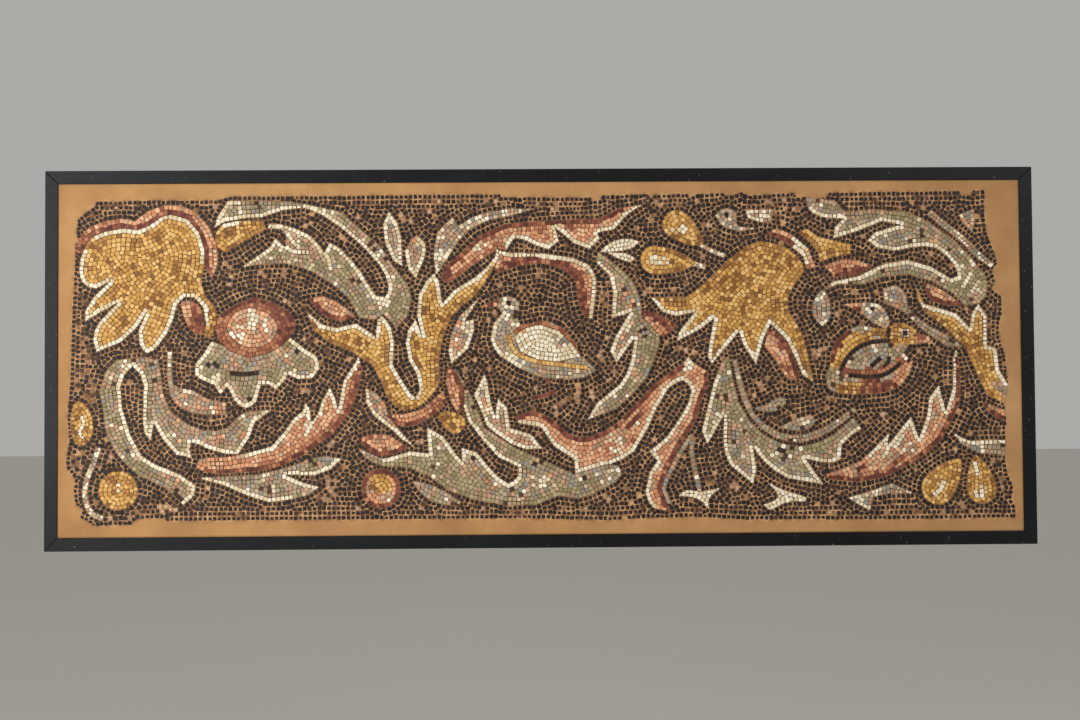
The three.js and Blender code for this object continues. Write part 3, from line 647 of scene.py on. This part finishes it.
region = np.where(inside([field_edge]) > 0, GROUND, 0).astype(np.int32)
region_figure = ["", "ground"]
region_stone = ["", "night"]
outline_walks = [walk(field_edge)]


def set_out(figure, stone, touches, allowed):
    """Marks a figure's cells and outline, and those of the lines inside it: only cells of the allowed
    region, where one is given, are the figure's, and only cells of the figure are a line's."""
    number = len(region_figure)
    layers = [(figure_loops[figure], stone, allowed)]
    layers += [([counterclockwise(strip(stops, width))], line_stone, number)
               for form, line_stone, stops, width, _ in touches if form == "line"]
    for loops, filling, room in layers:
        cells = inside(loops) > 0
        if room:
            cells &= region == room
        region[cells] = len(region_figure)
        region_figure.append(figure)
        region_stone.append(filling)
        points, directions = (np.concatenate(parts) for parts in zip(*map(walk, loops)))
        if room == number:
            held = np.array(region_figure)[region[cell_of(points)]] == figure
            points, directions = points[held], directions[held]
        outline_walks.append((points, directions))


for figure in inlays:
    set_out(figure, *PICTURE[figure], None)
for figure, (_, stone, touches, loop) in SMALL_FIGURES.items():
    figure_loops[figure] = [counterclockwise(loop)]
    set_out(figure, stone, touches, GROUND)
samples, headings = (np.concatenate(parts) for parts in zip(*outline_walks))

centre_x = LEFT + (np.arange(COLUMNS) + 0.5) * CELL
centre_z = BELOW + (np.arange(ROWS) + 0.5) * CELL
grid_x, grid_z = np.meshgrid(centre_x, centre_z)


def nearest_samples():
    """Number of the nearest outline point and the distance to it, for every cell, by jump flooding: each
    cell takes over a neighbour's answer when that is nearer, with neighbours 64, 32 ... 1 cells away."""
    nearest = np.full((ROWS, COLUMNS), -1, dtype=np.int64)
    nearest[cell_of(samples)] = np.arange(len(samples))
    with_far = np.concatenate([samples, [[1e6, 1e6]]])
    best = np.hypot(with_far[nearest, 0] - grid_x, with_far[nearest, 1] - grid_z)
    for jump in (64, 32, 16, 8, 4, 2, 1, 1):
        for down in (-jump, 0, jump):
            for across in (-jump, 0, jump):
                if down == across == 0:
                    continue
                here = (slice(max(0, -down), ROWS - max(0, down)),
                        slice(max(0, -across), COLUMNS - max(0, across)))
                there = (slice(max(0, down), ROWS + min(0, down)),
                         slice(max(0, across), COLUMNS + min(0, across)))
                offer = nearest[there]
                offered = np.hypot(with_far[offer, 0] - grid_x[here], with_far[offer, 1] - grid_z[here])
                closer = offered < best[here]
                nearest[here][closer] = offer[closer]
                best[here][closer] = offered[closer]
    return nearest, best


def softened(field, radius):
    """Running mean over a square of cells, three times over, which is close to a Gaussian blur."""
    for _ in range(3):
        for axis in (0, 1):
            pad = [(0, 0), (0, 0)]
            pad[axis] = (radius + 1, radius)
            total = np.cumsum(np.pad(field, pad, mode="edge"), axis=axis)
            size = field.shape[axis]
            ahead = np.take(total, np.arange(2 * radius + 1, 2 * radius + 1 + size), axis=axis)
            behind = np.take(total, np.arange(size), axis=axis)
            field = (ahead - behind) / (2 * radius + 1)
    return field


nearest, distance = nearest_samples()
heading = headings[nearest]
# a stone looks the same after a quarter turn, so directions are blended as fourth powers
# near an outline they follow it, and from 4 mm to 16 mm off they change over to the blend
quarter = (heading[..., 0] + 1j * heading[..., 1]) ** 4
soft_quarter = softened(quarter * np.exp(-distance / 25), 7)
soft_quarter /= np.abs(soft_quarter) + 1e-9
blended = np.clip((distance - 4) / 12, 0, 1)
turn = np.angle(quarter * (1 - blended) + soft_quarter * blended) / 4
pitch = np.where(region == GROUND, GROUND_PITCH, FIGURE_PITCH)


def seeds():
    """First places of the stones, by rows: along each outline at half a pitch, then the next row, and
    so on, each place taken only if it is clear of those before it; then one stone in each gap left."""
    row_number = np.floor(distance / pitch)
    on_row = np.abs(distance - (row_number + 0.5) * pitch) < 0.75 * CELL
    cells = np.flatnonzero((on_row & (region > 0)).ravel())
    order = np.lexsort((nearest.ravel()[cells], row_number.ravel()[cells], region.ravel()[cells]))
    spread = np.arange(-REACH - 2, REACH + 3)
    across, down = (part.ravel() for part in np.meshgrid(spread, spread))
    flat_region = region.ravel()
    flat_pitch = pitch.ravel()
    cosines, sines = np.cos(turn.ravel()), np.sin(turn.ravel())

    def claim(cell, clear, taken):
        """Takes the cells of a stone's own region that lie within a share of its pitch, square to it."""
        u = np.abs(across * cosines[cell] + down * sines[cell])
        v = np.abs(down * cosines[cell] - across * sines[cell])
        near = np.maximum(u, v) * CELL < clear * flat_pitch[cell]
        cells_near = cell + across[near] + down[near] * COLUMNS
        taken[cells_near[flat_region[cells_near] == flat_region[cell]]] = True

    chosen = []
    for clear, candidates in ((ROW_CLEAR, cells[order]), (GAP_CLEAR, np.flatnonzero(flat_region > 0))):
        taken = np.zeros(ROWS * COLUMNS, dtype=bool)
        for cell in chosen:
            claim(cell, clear, taken)
        for cell in candidates:
            if not taken[cell]:
                chosen.append(cell)
                claim(cell, clear, taken)
    return np.array(chosen)


def settled(cells):
    """Lets the stones settle: every cell goes to the nearest stone of its own region, measured square
    to that stone (the larger of the two sideways distances), and each stone moves to its cells' middle.
    """
    flat_region = region.ravel()
    own = flat_region[cells]
    x = grid_x.ravel()[cells]
    z = grid_z.ravel()[cells]
    flat_x, flat_z = grid_x.ravel(), grid_z.ravel()
    for _ in range(SETTLING_ROUNDS):
        column = ((x - LEFT) / CELL).astype(int)
        row = ((z - BELOW) / CELL).astype(int)
        angle = turn.ravel()[row * COLUMNS + column]
        cosine, sine = np.cos(angle), np.sin(angle)
        best = np.full(ROWS * COLUMNS, 1e9)
        owner = np.full(ROWS * COLUMNS, -1)
        numbers = np.arange(len(x))
        for down in range(-REACH, REACH + 1):
            for across in range(-REACH, REACH + 1):
                cell = (row + down) * COLUMNS + column + across
                ox, oz = flat_x[cell] - x, flat_z[cell] - z
                size = np.maximum(np.abs(ox * cosine + oz * sine), np.abs(oz * cosine - ox * sine))
                wins = (size < best[cell]) & (flat_region[cell] == own)
                best[cell[wins]] = size[wins]
                owner[cell[wins]] = numbers[wins]
        held = np.flatnonzero(owner >= 0)
        count = np.bincount(owner[held], minlength=len(x))
        middle_x = np.bincount(owner[held], flat_x[held], len(x)) / np.maximum(count, 1)
        middle_z = np.bincount(owner[held], flat_z[held], len(x)) / np.maximum(count, 1)
        x = np.where(count > 0, middle_x, x)
        z = np.where(count > 0, middle_z, z)
    return x, z, own, angle, owner, count


stone_x, stone_z, stone_region, stone_turn, owner, cells_held = settled(seeds())


EIGHTH_TURN = math.pi / 4


def sides_of(numbers_kept):
    """Reach of every stone in eight directions round its centre, an eighth of a turn apart and the first
    along its row: the largest projection of its cells, plus half a cell."""
    held = np.flatnonzero(owner >= 0)
    held = held[np.argsort(owner[held], kind="stable")]
    number = owner[held]
    starts = np.flatnonzero(np.concatenate([[True], number[1:] != number[:-1]]))
    present = number[starts]
    ox = grid_x.ravel()[held] - stone_x[number]
    oz = grid_z.ravel()[held] - stone_z[number]
    reach = np.zeros((len(stone_x), 8))
    for side in range(8):
        angle = stone_turn + side * EIGHTH_TURN
        along = ox * np.cos(angle)[number] + oz * np.sin(angle)[number]
        half_cell = 0.5 * CELL * (np.abs(np.cos(angle)) + np.abs(np.sin(angle)))
        reach[present, side] = np.maximum.reduceat(along, starts) + half_cell[present]
    return reach[numbers_kept]


# widths of joint, the most that a stone is undersized (as a share), and how far it is turned (radians)
FIGURE_JOINT, GROUND_JOINT = 1.1, 2.0
FIGURE_UNEVEN, GROUND_UNEVEN = 0.05, 0.2
FIGURE_SKEW, GROUND_SKEW = 0.04, 0.14
# smallest stone in square mm and least half width, and the share of ground stones that fell out
SMALLEST_STONE = 16
LEAST_REACH = 1.2
LOST_SHARE = 0.012
# the worn edge, in from a stone's side and down from its top, and its share of dark brown (0 to 1)
CHIP = 0.6
CHIP_DEPTH = 0.55
SLOPE_BROWN = 0.75
STONE_FACE, STONE_BACK = (corner[1] * 1000 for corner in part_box("bird"))

dice = np.random.default_rng(41)
kept = np.flatnonzero(cells_held * CELL ** 2 > SMALLEST_STONE)
lost = (stone_region[kept] == GROUND) & (dice.random(len(kept)) < LOST_SHARE)
kept = kept[~lost]
stone_x, stone_z, stone_region, stone_turn, reach = (
    stone_x[kept], stone_z[kept], stone_region[kept], stone_turn[kept], sides_of(kept))
stone_row, stone_column = cell_of(np.stack([stone_x, stone_z], axis=1))
stone_depth = distance[stone_row, stone_column]
ground = stone_region == GROUND
joint = np.where(ground, GROUND_JOINT, FIGURE_JOINT)[:, None]
reach = reach - joint / 2 * dice.uniform(0.5, 1.5, reach.shape)
reach *= 1 - dice.uniform(0, 1, (len(kept), 1)) * np.where(ground, GROUND_UNEVEN, FIGURE_UNEVEN)[:, None]
reach = np.maximum(reach, LEAST_REACH)
for _ in range(2):
    # a corner cut that lies outside the corner itself is pulled in to it, and a side likewise
    beside = (np.roll(reach, 1, axis=1) + np.roll(reach, -1, axis=1)) / math.sqrt(2)
    corner = np.arange(8) % 2 == 1
    worn = dice.uniform(0.9, 0.985, reach.shape)
    reach = np.where(corner, np.minimum(reach, beside * worn), np.minimum(reach, beside * 0.995))


def stone_mesh(name, chosen, kinds, materials):
    """One closed block for each chosen stone: an eight-sided plan, plumb sides and a slightly smaller,
    tilted top, so that its worn edge slopes. A plan corner is where two neighbouring side lines meet.
    A block has three rings of 8 points, and 18 faces: the back, 8 sides, 8 slopes and the top."""
    skew = dice.normal(0, 1, (len(chosen), 1)) * np.where(ground[chosen], GROUND_SKEW, FIGURE_SKEW)[:, None]
    angles = stone_turn[chosen, None] + skew + np.arange(8) * EIGHTH_TURN
    here = reach[chosen]
    ahead = np.roll(here, -1, axis=1)
    next_angles = angles + EIGHTH_TURN
    corner_x = (here * np.sin(next_angles) - ahead * np.sin(angles)) / math.sin(EIGHTH_TURN)
    corner_z = (ahead * np.cos(angles) - here * np.cos(next_angles)) / math.sin(EIGHTH_TURN)
    smaller = 1 - CHIP / here.mean(axis=1)[:, None]
    tilt_x, tilt_z = dice.normal(0, 0.03, (2, len(chosen), 1))
    proud = dice.normal(0, 0.16, (len(chosen), 1)).clip(-0.4, 0.35)
    x, z = stone_x[chosen, None], stone_z[chosen, None]
    face = STONE_FACE - proud + corner_x * tilt_x + corner_z * tilt_z
    face = np.maximum(face, STONE_FACE - 0.8)
    rings = [(corner_x, np.full_like(corner_x, STONE_BACK), corner_z),
             (corner_x, face + CHIP_DEPTH, corner_z),
             (corner_x * smaller, face, corner_z * smaller)]
    places = np.stack([np.stack([x + rx, ry, z + rz], axis=-1) for rx, ry, rz in rings], axis=1) / 1000
    first = np.arange(len(chosen)) * 24
    ring = np.arange(8)
    ahead_of = (ring + 1) % 8
    walls = [np.stack([level + ring, level + ahead_of, level + 8 + ahead_of, level + 8 + ring], axis=1)
             for level in (0, 8)]
    loops = np.concatenate([ring[::-1], np.concatenate(walls).ravel(), 16 + ring])
    corners = (first[:, None] + loops[None]).ravel()
    lengths = np.tile(np.concatenate([[8], np.full(16, 4), [8]]), len(chosen))
    mesh = bpy.data.meshes.new(name)
    mesh.vertices.add(len(chosen) * 24)
    mesh.vertices.foreach_set("co", places.ravel())
    mesh.loops.add(len(corners))
    mesh.loops.foreach_set("vertex_index", corners)
    mesh.polygons.add(len(lengths))
    mesh.polygons.foreach_set("loop_start", np.cumsum(lengths) - lengths)
    mesh.polygons.foreach_set("material_index", np.repeat(kinds, 18))
    tone = mesh.attributes.new("tone", "FLOAT", "FACE")
    tone.data.foreach_set("value", np.repeat(dice.random(len(chosen)), 18))
    # the back and sides are mixed fully toward dark brown, the worn edge mostly, and the top not at all
    brown_share = mesh.attributes.new("brown_share", "FLOAT", "FACE")
    brown_share.data.foreach_set("value", np.tile(np.repeat([1.0, SLOPE_BROWN, 0.0], [9, 8, 1]), len(chosen)))
    for material in materials:
        mesh.materials.append(material)
    mesh.update(calc_edges=True)
    mesh.shade_flat()
    return mesh


# Kinds of stone. Every kind is a limestone or marble split into cubes and worn matt underfoot; its
# cubes vary from bed to bed, and each has fine grain, a few pits and brown dust in its hollows.

def cut_stone(name, colours, rough=0.62):
    """Split and worn stone: one of the bed's colours for each cube, cloudy, with grain and pits, and its
    sides and worn edge mixed toward dark brown."""
    material, shader = new_material(name)
    place = add_node(material, "TexCoord").outputs["Object"]
    tone = add_node(material, "Attribute", {"attribute_name": "tone"}).outputs["Fac"]
    brown_share = add_node(material, "Attribute", {"attribute_name": "brown_share"}).outputs["Fac"]
    steps = [(index / len(colours), colour) for index, colour in enumerate(colours)]
    bed = add_ramp(material, tone, steps, "CONSTANT")
    cloud = add_node(material, "TexNoise", {"Scale": 260.0, "Detail": 6.0, "Roughness": 0.7}, Vector=place)
    tint = {"From Min": 0.3, "From Max": 0.7, "To Min": 0.72, "To Max": 1.2}
    shade = add_node(material, "MapRange", tint, in0=cloud.outputs["Fac"]).outputs[0]
    grained = add_node(material, "VectorMath", {"operation": "SCALE"}, in0=bed, Scale=shade).outputs[0]
    grit = add_node(material, "TexNoise", {"Scale": 900.0, "Detail": 3.0}, Vector=place).outputs["Fac"]
    pits = add_node(material, "MapRange", {"From Min": 0.56, "From Max": 0.74, "To Max": 0.5}, in0=grit)
    # pits, and each cube's sides and worn edge, are mixed toward a dark brown
    browned = add_node(material, "Math", {"operation": "MAXIMUM"}, in0=pits.outputs[0], in1=brown_share).outputs[0]
    dark_brown = add_ramp(material, cloud.outputs["Fac"], [(0.35, "#4a3020"), (0.6, "#7d5838")])
    colour = add_node(material, "Mix", {"data_type": "RGBA"}, in0=browned, in6=grained, in7=dark_brown)
    join(material, colour.outputs[2], shader, "Base Color")
    shader.inputs["Roughness"].default_value = rough
    shader.inputs["Specular IOR Level"].default_value = 0.25
    relief = add_node(material, "Bump", {"Strength": 0.55, "Distance": 0.0005}, Height=cloud.outputs["Fac"])
    join(material, relief.outputs["Normal"], shader, "Normal")
    return material


STONES = {
    "cream": cut_stone("cream_limestone", ["#ece0c4", "#dfcfae", "#f1e6ce", "#d3c09a", "#e6d9bb"], 0.55),
    "ochre": cut_stone("ochre_limestone", ["#d3a052", "#c18e45", "#dcae64", "#ca9a53", "#b38140", "#dfb470"]),
    "honey": cut_stone("honey_brown_limestone", ["#93642f", "#a2743a", "#80552a", "#ab7c42"]),
    "coral": cut_stone("coral_marble", ["#d99c73", "#ca8b62", "#e4b18a", "#be8060", "#d3a17c"]),
    "maroon": cut_stone("maroon_marble", ["#663029", "#773b31", "#562822", "#834a3c"]),
    "russet": cut_stone("russet_marble", ["#985a40", "#a8684a", "#884c38", "#b37856"]),
    "olive": cut_stone("olive_green_marble", ["#968966", "#867b57", "#a2946e", "#8e8261", "#ac9b77"]),
    "grey": cut_stone("warm_grey_marble", ["#9a8c75", "#aa9981", "#877e6d", "#b3a087", "#8f8c84"]),
    "rose": cut_stone("rose_tan_marble", ["#b89276", "#a8866b", "#c4a082", "#9d7d64"]),
    "black": cut_stone("black_limestone", ["#121316", "#191a1d", "#0d0e10", "#1f1d1d"], 0.6),
    "charcoal": cut_stone("purple_black_slate", ["#1e1c20", "#272223", "#302828", "#18191c", "#232325"], 0.6),
    "umber": cut_stone("umber_limestone", ["#35261f", "#412e25", "#2b201b", "#4d392d"]),
    "tan": cut_stone("tan_limestone", ["#8f6a4a", "#a07c5b", "#7d5b3d"]),
}
KINDS = list(STONES)


NET_ROWS, NET_COLUMNS = 400, 1000


def mottle(x, z, size, seed):
    """Smooth random field, -1 to 1: random values on a square net of the given size, blended across
    each square by the smoothstep 3 t**2 - 2 t**3."""
    net = np.random.default_rng(seed).uniform(-1, 1, (NET_ROWS, NET_COLUMNS))
    u, v = x / size + NET_COLUMNS / 2 + 0.5, z / size + NET_ROWS / 2 + 0.5
    column = np.floor(u).astype(int) % (NET_COLUMNS - 1)
    row = np.floor(v).astype(int) % (NET_ROWS - 1)
    s, t = u - np.floor(u), v - np.floor(v)
    s, t = s * s * (3 - 2 * s), t * t * (3 - 2 * t)
    lower = net[row, column] * (1 - s) + net[row, column + 1] * s
    upper = net[row + 1, column] * (1 - s) + net[row + 1, column + 1] * s
    return lower * (1 - t) + upper * t


# a cube's draw, 0 to 1, picks its stone from a mixture; neighbours draw alike, as from one basket
BASKET_SPREAD = 17
draw = dice.random(len(stone_x)) + 0.5 * mottle(stone_x, stone_z, BASKET_SPREAD, 11)
draw[np.argsort(draw)] = np.linspace(0, 1, len(draw), endpoint=False)
chance = dice.random(len(stone_x))


def kinds_of(word, chosen):
    """Kind of stone for each chosen cube: a mixture's shares are laid end to end and the draw falls
    in one of them."""
    shares = MIXTURES.get(word, {word: 1.0})
    numbers = np.array([KINDS.index(stone) for stone in shares])
    ends = np.cumsum(list(shares.values()))
    return numbers[np.searchsorted(ends, draw[chosen] * ends[-1], side="right")]


# left of this the ground is a margin of patched stones
LEFT_MARGIN = -838
kind = np.zeros(len(stone_x), dtype=int)
for number in range(GROUND, len(region_figure)):
    chosen = np.flatnonzero(stone_region == number)
    kind[chosen] = kinds_of(region_stone[number], chosen)
for word, held in (("margin", stone_x < LEFT_MARGIN), ("first_row", stone_depth < GROUND_PITCH)):
    chosen = np.flatnonzero(ground & held)
    kind[chosen] = kinds_of(word, chosen)


def stretch(loops, stops):
    """Points along the outline nearest to the stops, and all between them the shorter way round."""
    points = [walk(loop)[0] for loop in loops]
    run = min(points, key=lambda places: np.linalg.norm(places - np.array(stops[0]), axis=1).min())
    places = [int(np.linalg.norm(run - np.array(stop), axis=1).argmin()) for stop in stops]
    picked = []
    for start, end in zip(places, places[1:]):
        ahead = (end - start) % len(run)
        steps = np.arange(ahead + 1) if ahead <= len(run) / 2 else -np.arange(len(run) - ahead + 1)
        picked.append(run[(start + steps) % len(run)])
    return np.concatenate(picked), np.concatenate(points)


def touch_up(figure, touches):
    """Changes the stone of the cubes that a figure's edges and areas name."""
    chosen = np.flatnonzero(stone_region == region_figure.index(figure))
    x, z = stone_x[chosen], stone_z[chosen]
    for form, stone, stops, rows, share in touches:
        if form == "edge":
            marked, every = stretch(figure_loops[figure], stops)
            to_edge = np.hypot(x[:, None] - every[:, 0], z[:, None] - every[:, 1]).min(axis=1)
            to_mark = np.hypot(x[:, None] - marked[:, 0], z[:, None] - marked[:, 1]).min(axis=1)
            hit = (to_mark < to_edge + 1.5) & (to_mark < FIGURE_PITCH * (rows - 0.2))
        elif form == "area":
            corners = np.array(stops, dtype=float)
            ahead = np.roll(corners, -1, axis=0)
            crosses = (corners[:, 1] > z[:, None]) != (ahead[:, 1] > z[:, None])
            slope = (ahead[:, 0] - corners[:, 0]) / (ahead[:, 1] - corners[:, 1] + 1e-9)
            left_of = x[:, None] < corners[:, 0] + slope * (z[:, None] - corners[:, 1])
            hit = (crosses & left_of).sum(axis=1) % 2 == 1
        else:
            continue
        hit &= chance[chosen] < share
        kind[chosen[hit]] = kinds_of(stone, chosen[hit])


for figure, (_, touches) in PICTURE.items():
    touch_up(figure, touches)
for figure, (_, _, touches, _) in SMALL_FIGURES.items():
    touch_up(figure, touches)


def lay(name, chosen, node=None):
    """Makes one piece of the chosen stones, riding with the panel in place of its CAD solid."""
    used, kinds = np.unique(kind[chosen], return_inverse=True)
    mesh = stone_mesh(name, chosen, kinds.ravel(), [STONES[KINDS[number]] for number in used])
    piece = bpy.data.objects.new(name, mesh)
    bpy.context.scene.collection.objects.link(piece)
    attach(piece, "root")
    if node:
        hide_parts(node)


figure_of = np.array(region_figure)[stone_region]
for figure in inlays:
    lay(figure + "_tesserae", np.flatnonzero(figure_of == figure), figure)
for figure, (slot, *_) in SMALL_FIGURES.items():
    lay(figure, np.flatnonzero(figure_of == figure))
lay("ground_tesserae_left", np.flatnonzero(ground & (stone_x < 0)), "ground_tesserae")
lay("ground_tesserae_right", np.flatnonzero(ground & (stone_x >= 0)), "ground_tesserae")


# ---------------------------------------------------------------------------------------------
# Mortar slab. The tesserae were lifted and set again in a tan lime mortar, which is cast solid to
# the wall and floated smooth round the field; between the stones it lies about a millimetre low.

# the mortar's level below the stones, the net's step, and the depth of border before the slab widens
JOINT_LOW = 0.95
MESH_STEP = 4.0
SHOULDER = 3.2


def slab_mesh():
    """The slab as a height field in front, closed by its rim and back.

    The face is a net of points. Inside the field it lies at the joints' level and outside at the
    border's, with the change spread over a few millimetres, plus small waves left by the float.
    """
    border = max(face_loops("mortar_slab"), key=lambda loop: np.ptp(loop[:, 0]))
    least, most = border.min(axis=0), border.max(axis=0)
    back_low, back_high = (np.array(corner) * 1000 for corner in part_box("mortar_slab"))
    across, up = (np.linspace(least[axis], most[axis], int((most[axis] - least[axis]) / MESH_STEP) + 1)
                  for axis in (0, 1))
    net_x, net_z = np.meshgrid(across, up)
    row, column = cell_of(np.stack([net_x.ravel(), net_z.ravel()], axis=1))
    bed = softened((region > 0).astype(float), 2)[row, column].reshape(net_x.shape)
    under_figure = softened((region > GROUND).astype(float), 2)[row, column].reshape(net_x.shape)
    waves = 0.12 * mottle(net_x, net_z, 60, 5) + 0.12 * mottle(net_x, net_z, 9, 6)
    face = back_low[1] + 0.15 + waves
    sunk = STONE_FACE + JOINT_LOW + 0.2 * mottle(net_x, net_z, 14, 7)
    depth = face * (1 - bed) + sunk * bed
    rows, columns = net_x.shape
    front = np.stack([net_x, depth, net_z], axis=-1).reshape(-1, 3)
    number = np.arange(rows * columns).reshape(rows, columns)
    quads = np.stack([number[:-1, :-1], number[:-1, 1:], number[1:, 1:], number[1:, :-1]], axis=-1)
    quads = quads.reshape(-1, 4)
    rim = np.concatenate([number[0, :-1], number[:-1, -1], number[-1, :0:-1], number[:0:-1, 0]])
    middle, half = (least + most) / 2, (most - least) / 2
    reach_out = (back_high[[0, 2]] - back_low[[0, 2]]) / 2 / half
    shoulder = back_low[1] + SHOULDER
    rings = []
    for grow, level in ((1.0, shoulder), (reach_out, shoulder), (reach_out, back_high[1])):
        ring = front[rim].copy()
        ring[:, [0, 2]] = middle + (ring[:, [0, 2]] - middle) * grow
        ring[:, 1] = level
        rings.append(ring)
    places = np.concatenate([front, *rings])
    count = len(rim)
    levels = [rim, *(len(front) + np.arange(count) + count * index for index in range(3))]
    walls = [np.stack([outer, np.roll(outer, -1), np.roll(inner, -1), inner], axis=1)
             for inner, outer in zip(levels, levels[1:])]
    faces = [*quads.tolist(), *np.concatenate(walls).tolist(), levels[-1][::-1].tolist()]
    mesh = bpy.data.meshes.new("mortar_slab_relief")
    mesh.from_pydata((places / 1000).tolist(), [], faces)
    mesh.polygons.foreach_set("use_smooth", [True] * len(quads) + [False] * (len(faces) - len(quads)))
    for name, values in (("bed", bed), ("figure", under_figure)):
        attribute = mesh.attributes.new(name, "FLOAT", "POINT")
        attribute.data.foreach_set("value", np.concatenate([values.ravel(), np.zeros(3 * count)]))
    return mesh


def lime_mortar():
    """Lime and brick-dust mortar with sand, floated by hand: tan and sandy, with painted shade that
    makes it browner at the right. In the joints it is lighter between dark stones and darker
    between pale ones."""
    material, shader = new_material("lime_and_sand_mortar")
    place = add_node(material, "TexCoord").outputs["Object"]
    cloud = add_node(material, "TexNoise", {"Scale": 7.0, "Detail": 8.0, "Roughness": 0.62}, Vector=place)
    cloud = cloud.outputs["Fac"]
    sand = add_node(material, "TexNoise", {"Scale": 700.0, "Detail": 3.0}, Vector=place)
    # painted shade: the border's tan runs from a lighter tone at the left to a browner, darker one at the
    # right, where less light falls
    across = add_node(material, "SeparateXYZ", {}, Vector=place).outputs["X"]
    right = add_node(material, "MapRange", {"From Min": -0.2, "From Max": 1.0}, in0=across).outputs[0]
    lit_tone = add_ramp(material, cloud, [(0.3, "#9c7144"), (0.52, "#ae8150"), (0.72, "#be925e")])
    shaded_tone = add_ramp(material, cloud, [(0.3, "#946b43"), (0.52, "#a47a4d"), (0.72, "#b18759")])
    blend = {"data_type": "RGBA"}
    border = add_node(material, "Mix", blend, in0=right, in6=lit_tone, in7=shaded_tone).outputs[2]
    silt = add_node(material, "TexNoise", {"Scale": 70.0, "Detail": 4.0}, Vector=place).outputs["Fac"]
    joints = add_ramp(material, silt, [(0.36, "#5c3f29"), (0.5, "#a07650"), (0.62, "#c0966a")])
    # between the picture's pale stones the joints are a darker brown than between the ground's dark stones
    figure_joints = add_ramp(material, silt, [(0.36, "#4c301f"), (0.64, "#80583a")])
    bed = add_node(material, "Attribute", {"attribute_name": "bed"}).outputs["Fac"]
    figure = add_node(material, "Attribute", {"attribute_name": "figure"}).outputs["Fac"]
    between = add_node(material, "Mix", blend, in0=figure, in6=joints, in7=figure_joints).outputs[2]
    whole = add_node(material, "Mix", blend, in0=bed, in6=border, in7=between).outputs[2]
    speckle = {"From Min": 0.3, "From Max": 0.7, "To Min": 0.86, "To Max": 1.12}
    grains = add_node(material, "MapRange", speckle, in0=sand.outputs["Fac"]).outputs[0]
    colour = add_node(material, "VectorMath", {"operation": "SCALE"}, in0=whole, Scale=grains).outputs[0]
    join(material, colour, shader, "Base Color")
    shader.inputs["Roughness"].default_value = 0.9
    relief = add_node(material, "Bump", {"Strength": 0.5, "Distance": 0.0006}, Height=sand.outputs["Fac"])
    join(material, relief.outputs["Normal"], shader, "Normal")
    return material


slab = bpy.data.objects.new("mortar_slab_relief", slab_mesh())
slab.data.materials.append(lime_mortar())
bpy.context.scene.collection.objects.link(slab)
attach(slab, "root")
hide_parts("mortar_slab")


# ---------------------------------------------------------------------------------------------
# Studio. A pale floor well below the hanging panel, large soft lights, and a camera in front of it,
# a little left of the middle and low.

FLOOR_BELOW = 1.1
FLOOR_REACH = 30
floor_mesh = bpy.data.meshes.new("studio_floor")
floor_corners = [(x * FLOOR_REACH, y * FLOOR_REACH, -FLOOR_BELOW)
                 for x, y in ((-1, -1), (1, -1), (1, 1), (-1, 1))]
floor_mesh.from_pydata(floor_corners, [], [(0, 1, 2, 3)])
floor = bpy.data.objects.new("studio_floor", floor_mesh)
bpy.context.scene.collection.objects.link(floor)
paint, paint_shader = new_material("pale_floor_paint")
paint_shader.inputs["Base Color"].default_value = linear("#d8d5cf")
paint_shader.inputs["Roughness"].default_value = 0.8
floor_mesh.materials.append(paint)


def soft_light(name, place, size, power):
    """A square soft box aimed at the panel's middle."""
    data = bpy.data.lights.new(name, "AREA")
    data.shape = "SQUARE"
    data.size = size
    data.energy = power
    lamp = bpy.data.objects.new(name, data)
    lamp.location = place
    aim = -lamp.location.normalized()
    lamp.rotation_mode = "QUATERNION"
    lamp.rotation_quaternion = aim.to_track_quat("-Z", "Y")
    bpy.context.scene.collection.objects.link(lamp)


soft_light("soft_box_left", (-2.2, -2.6, 0.3), 1.6, 76)
soft_light("soft_box_right", (2.4, -2.8, 1.6), 1.6, 42)

world = bpy.data.worlds.new("studio")
bpy.context.scene.world = world
world.use_nodes = True
background = world.node_tree.nodes["Background"]
background.inputs["Color"].default_value = linear("#dcdad6")
background.inputs["Strength"].default_value = 0.58

lens = bpy.data.cameras.new("camera")
lens.lens = 50
lens.sensor_width = 36
camera = bpy.data.objects.new("camera", lens)
camera.location = (-0.042, -2.906, -0.093)
camera.rotation_euler = (math.radians(91.78), math.radians(0.385), math.radians(-0.767))
bpy.context.scene.collection.objects.link(camera)
bpy.context.scene.camera = camera
bpy.context.scene.view_settings.view_transform = "Standard"
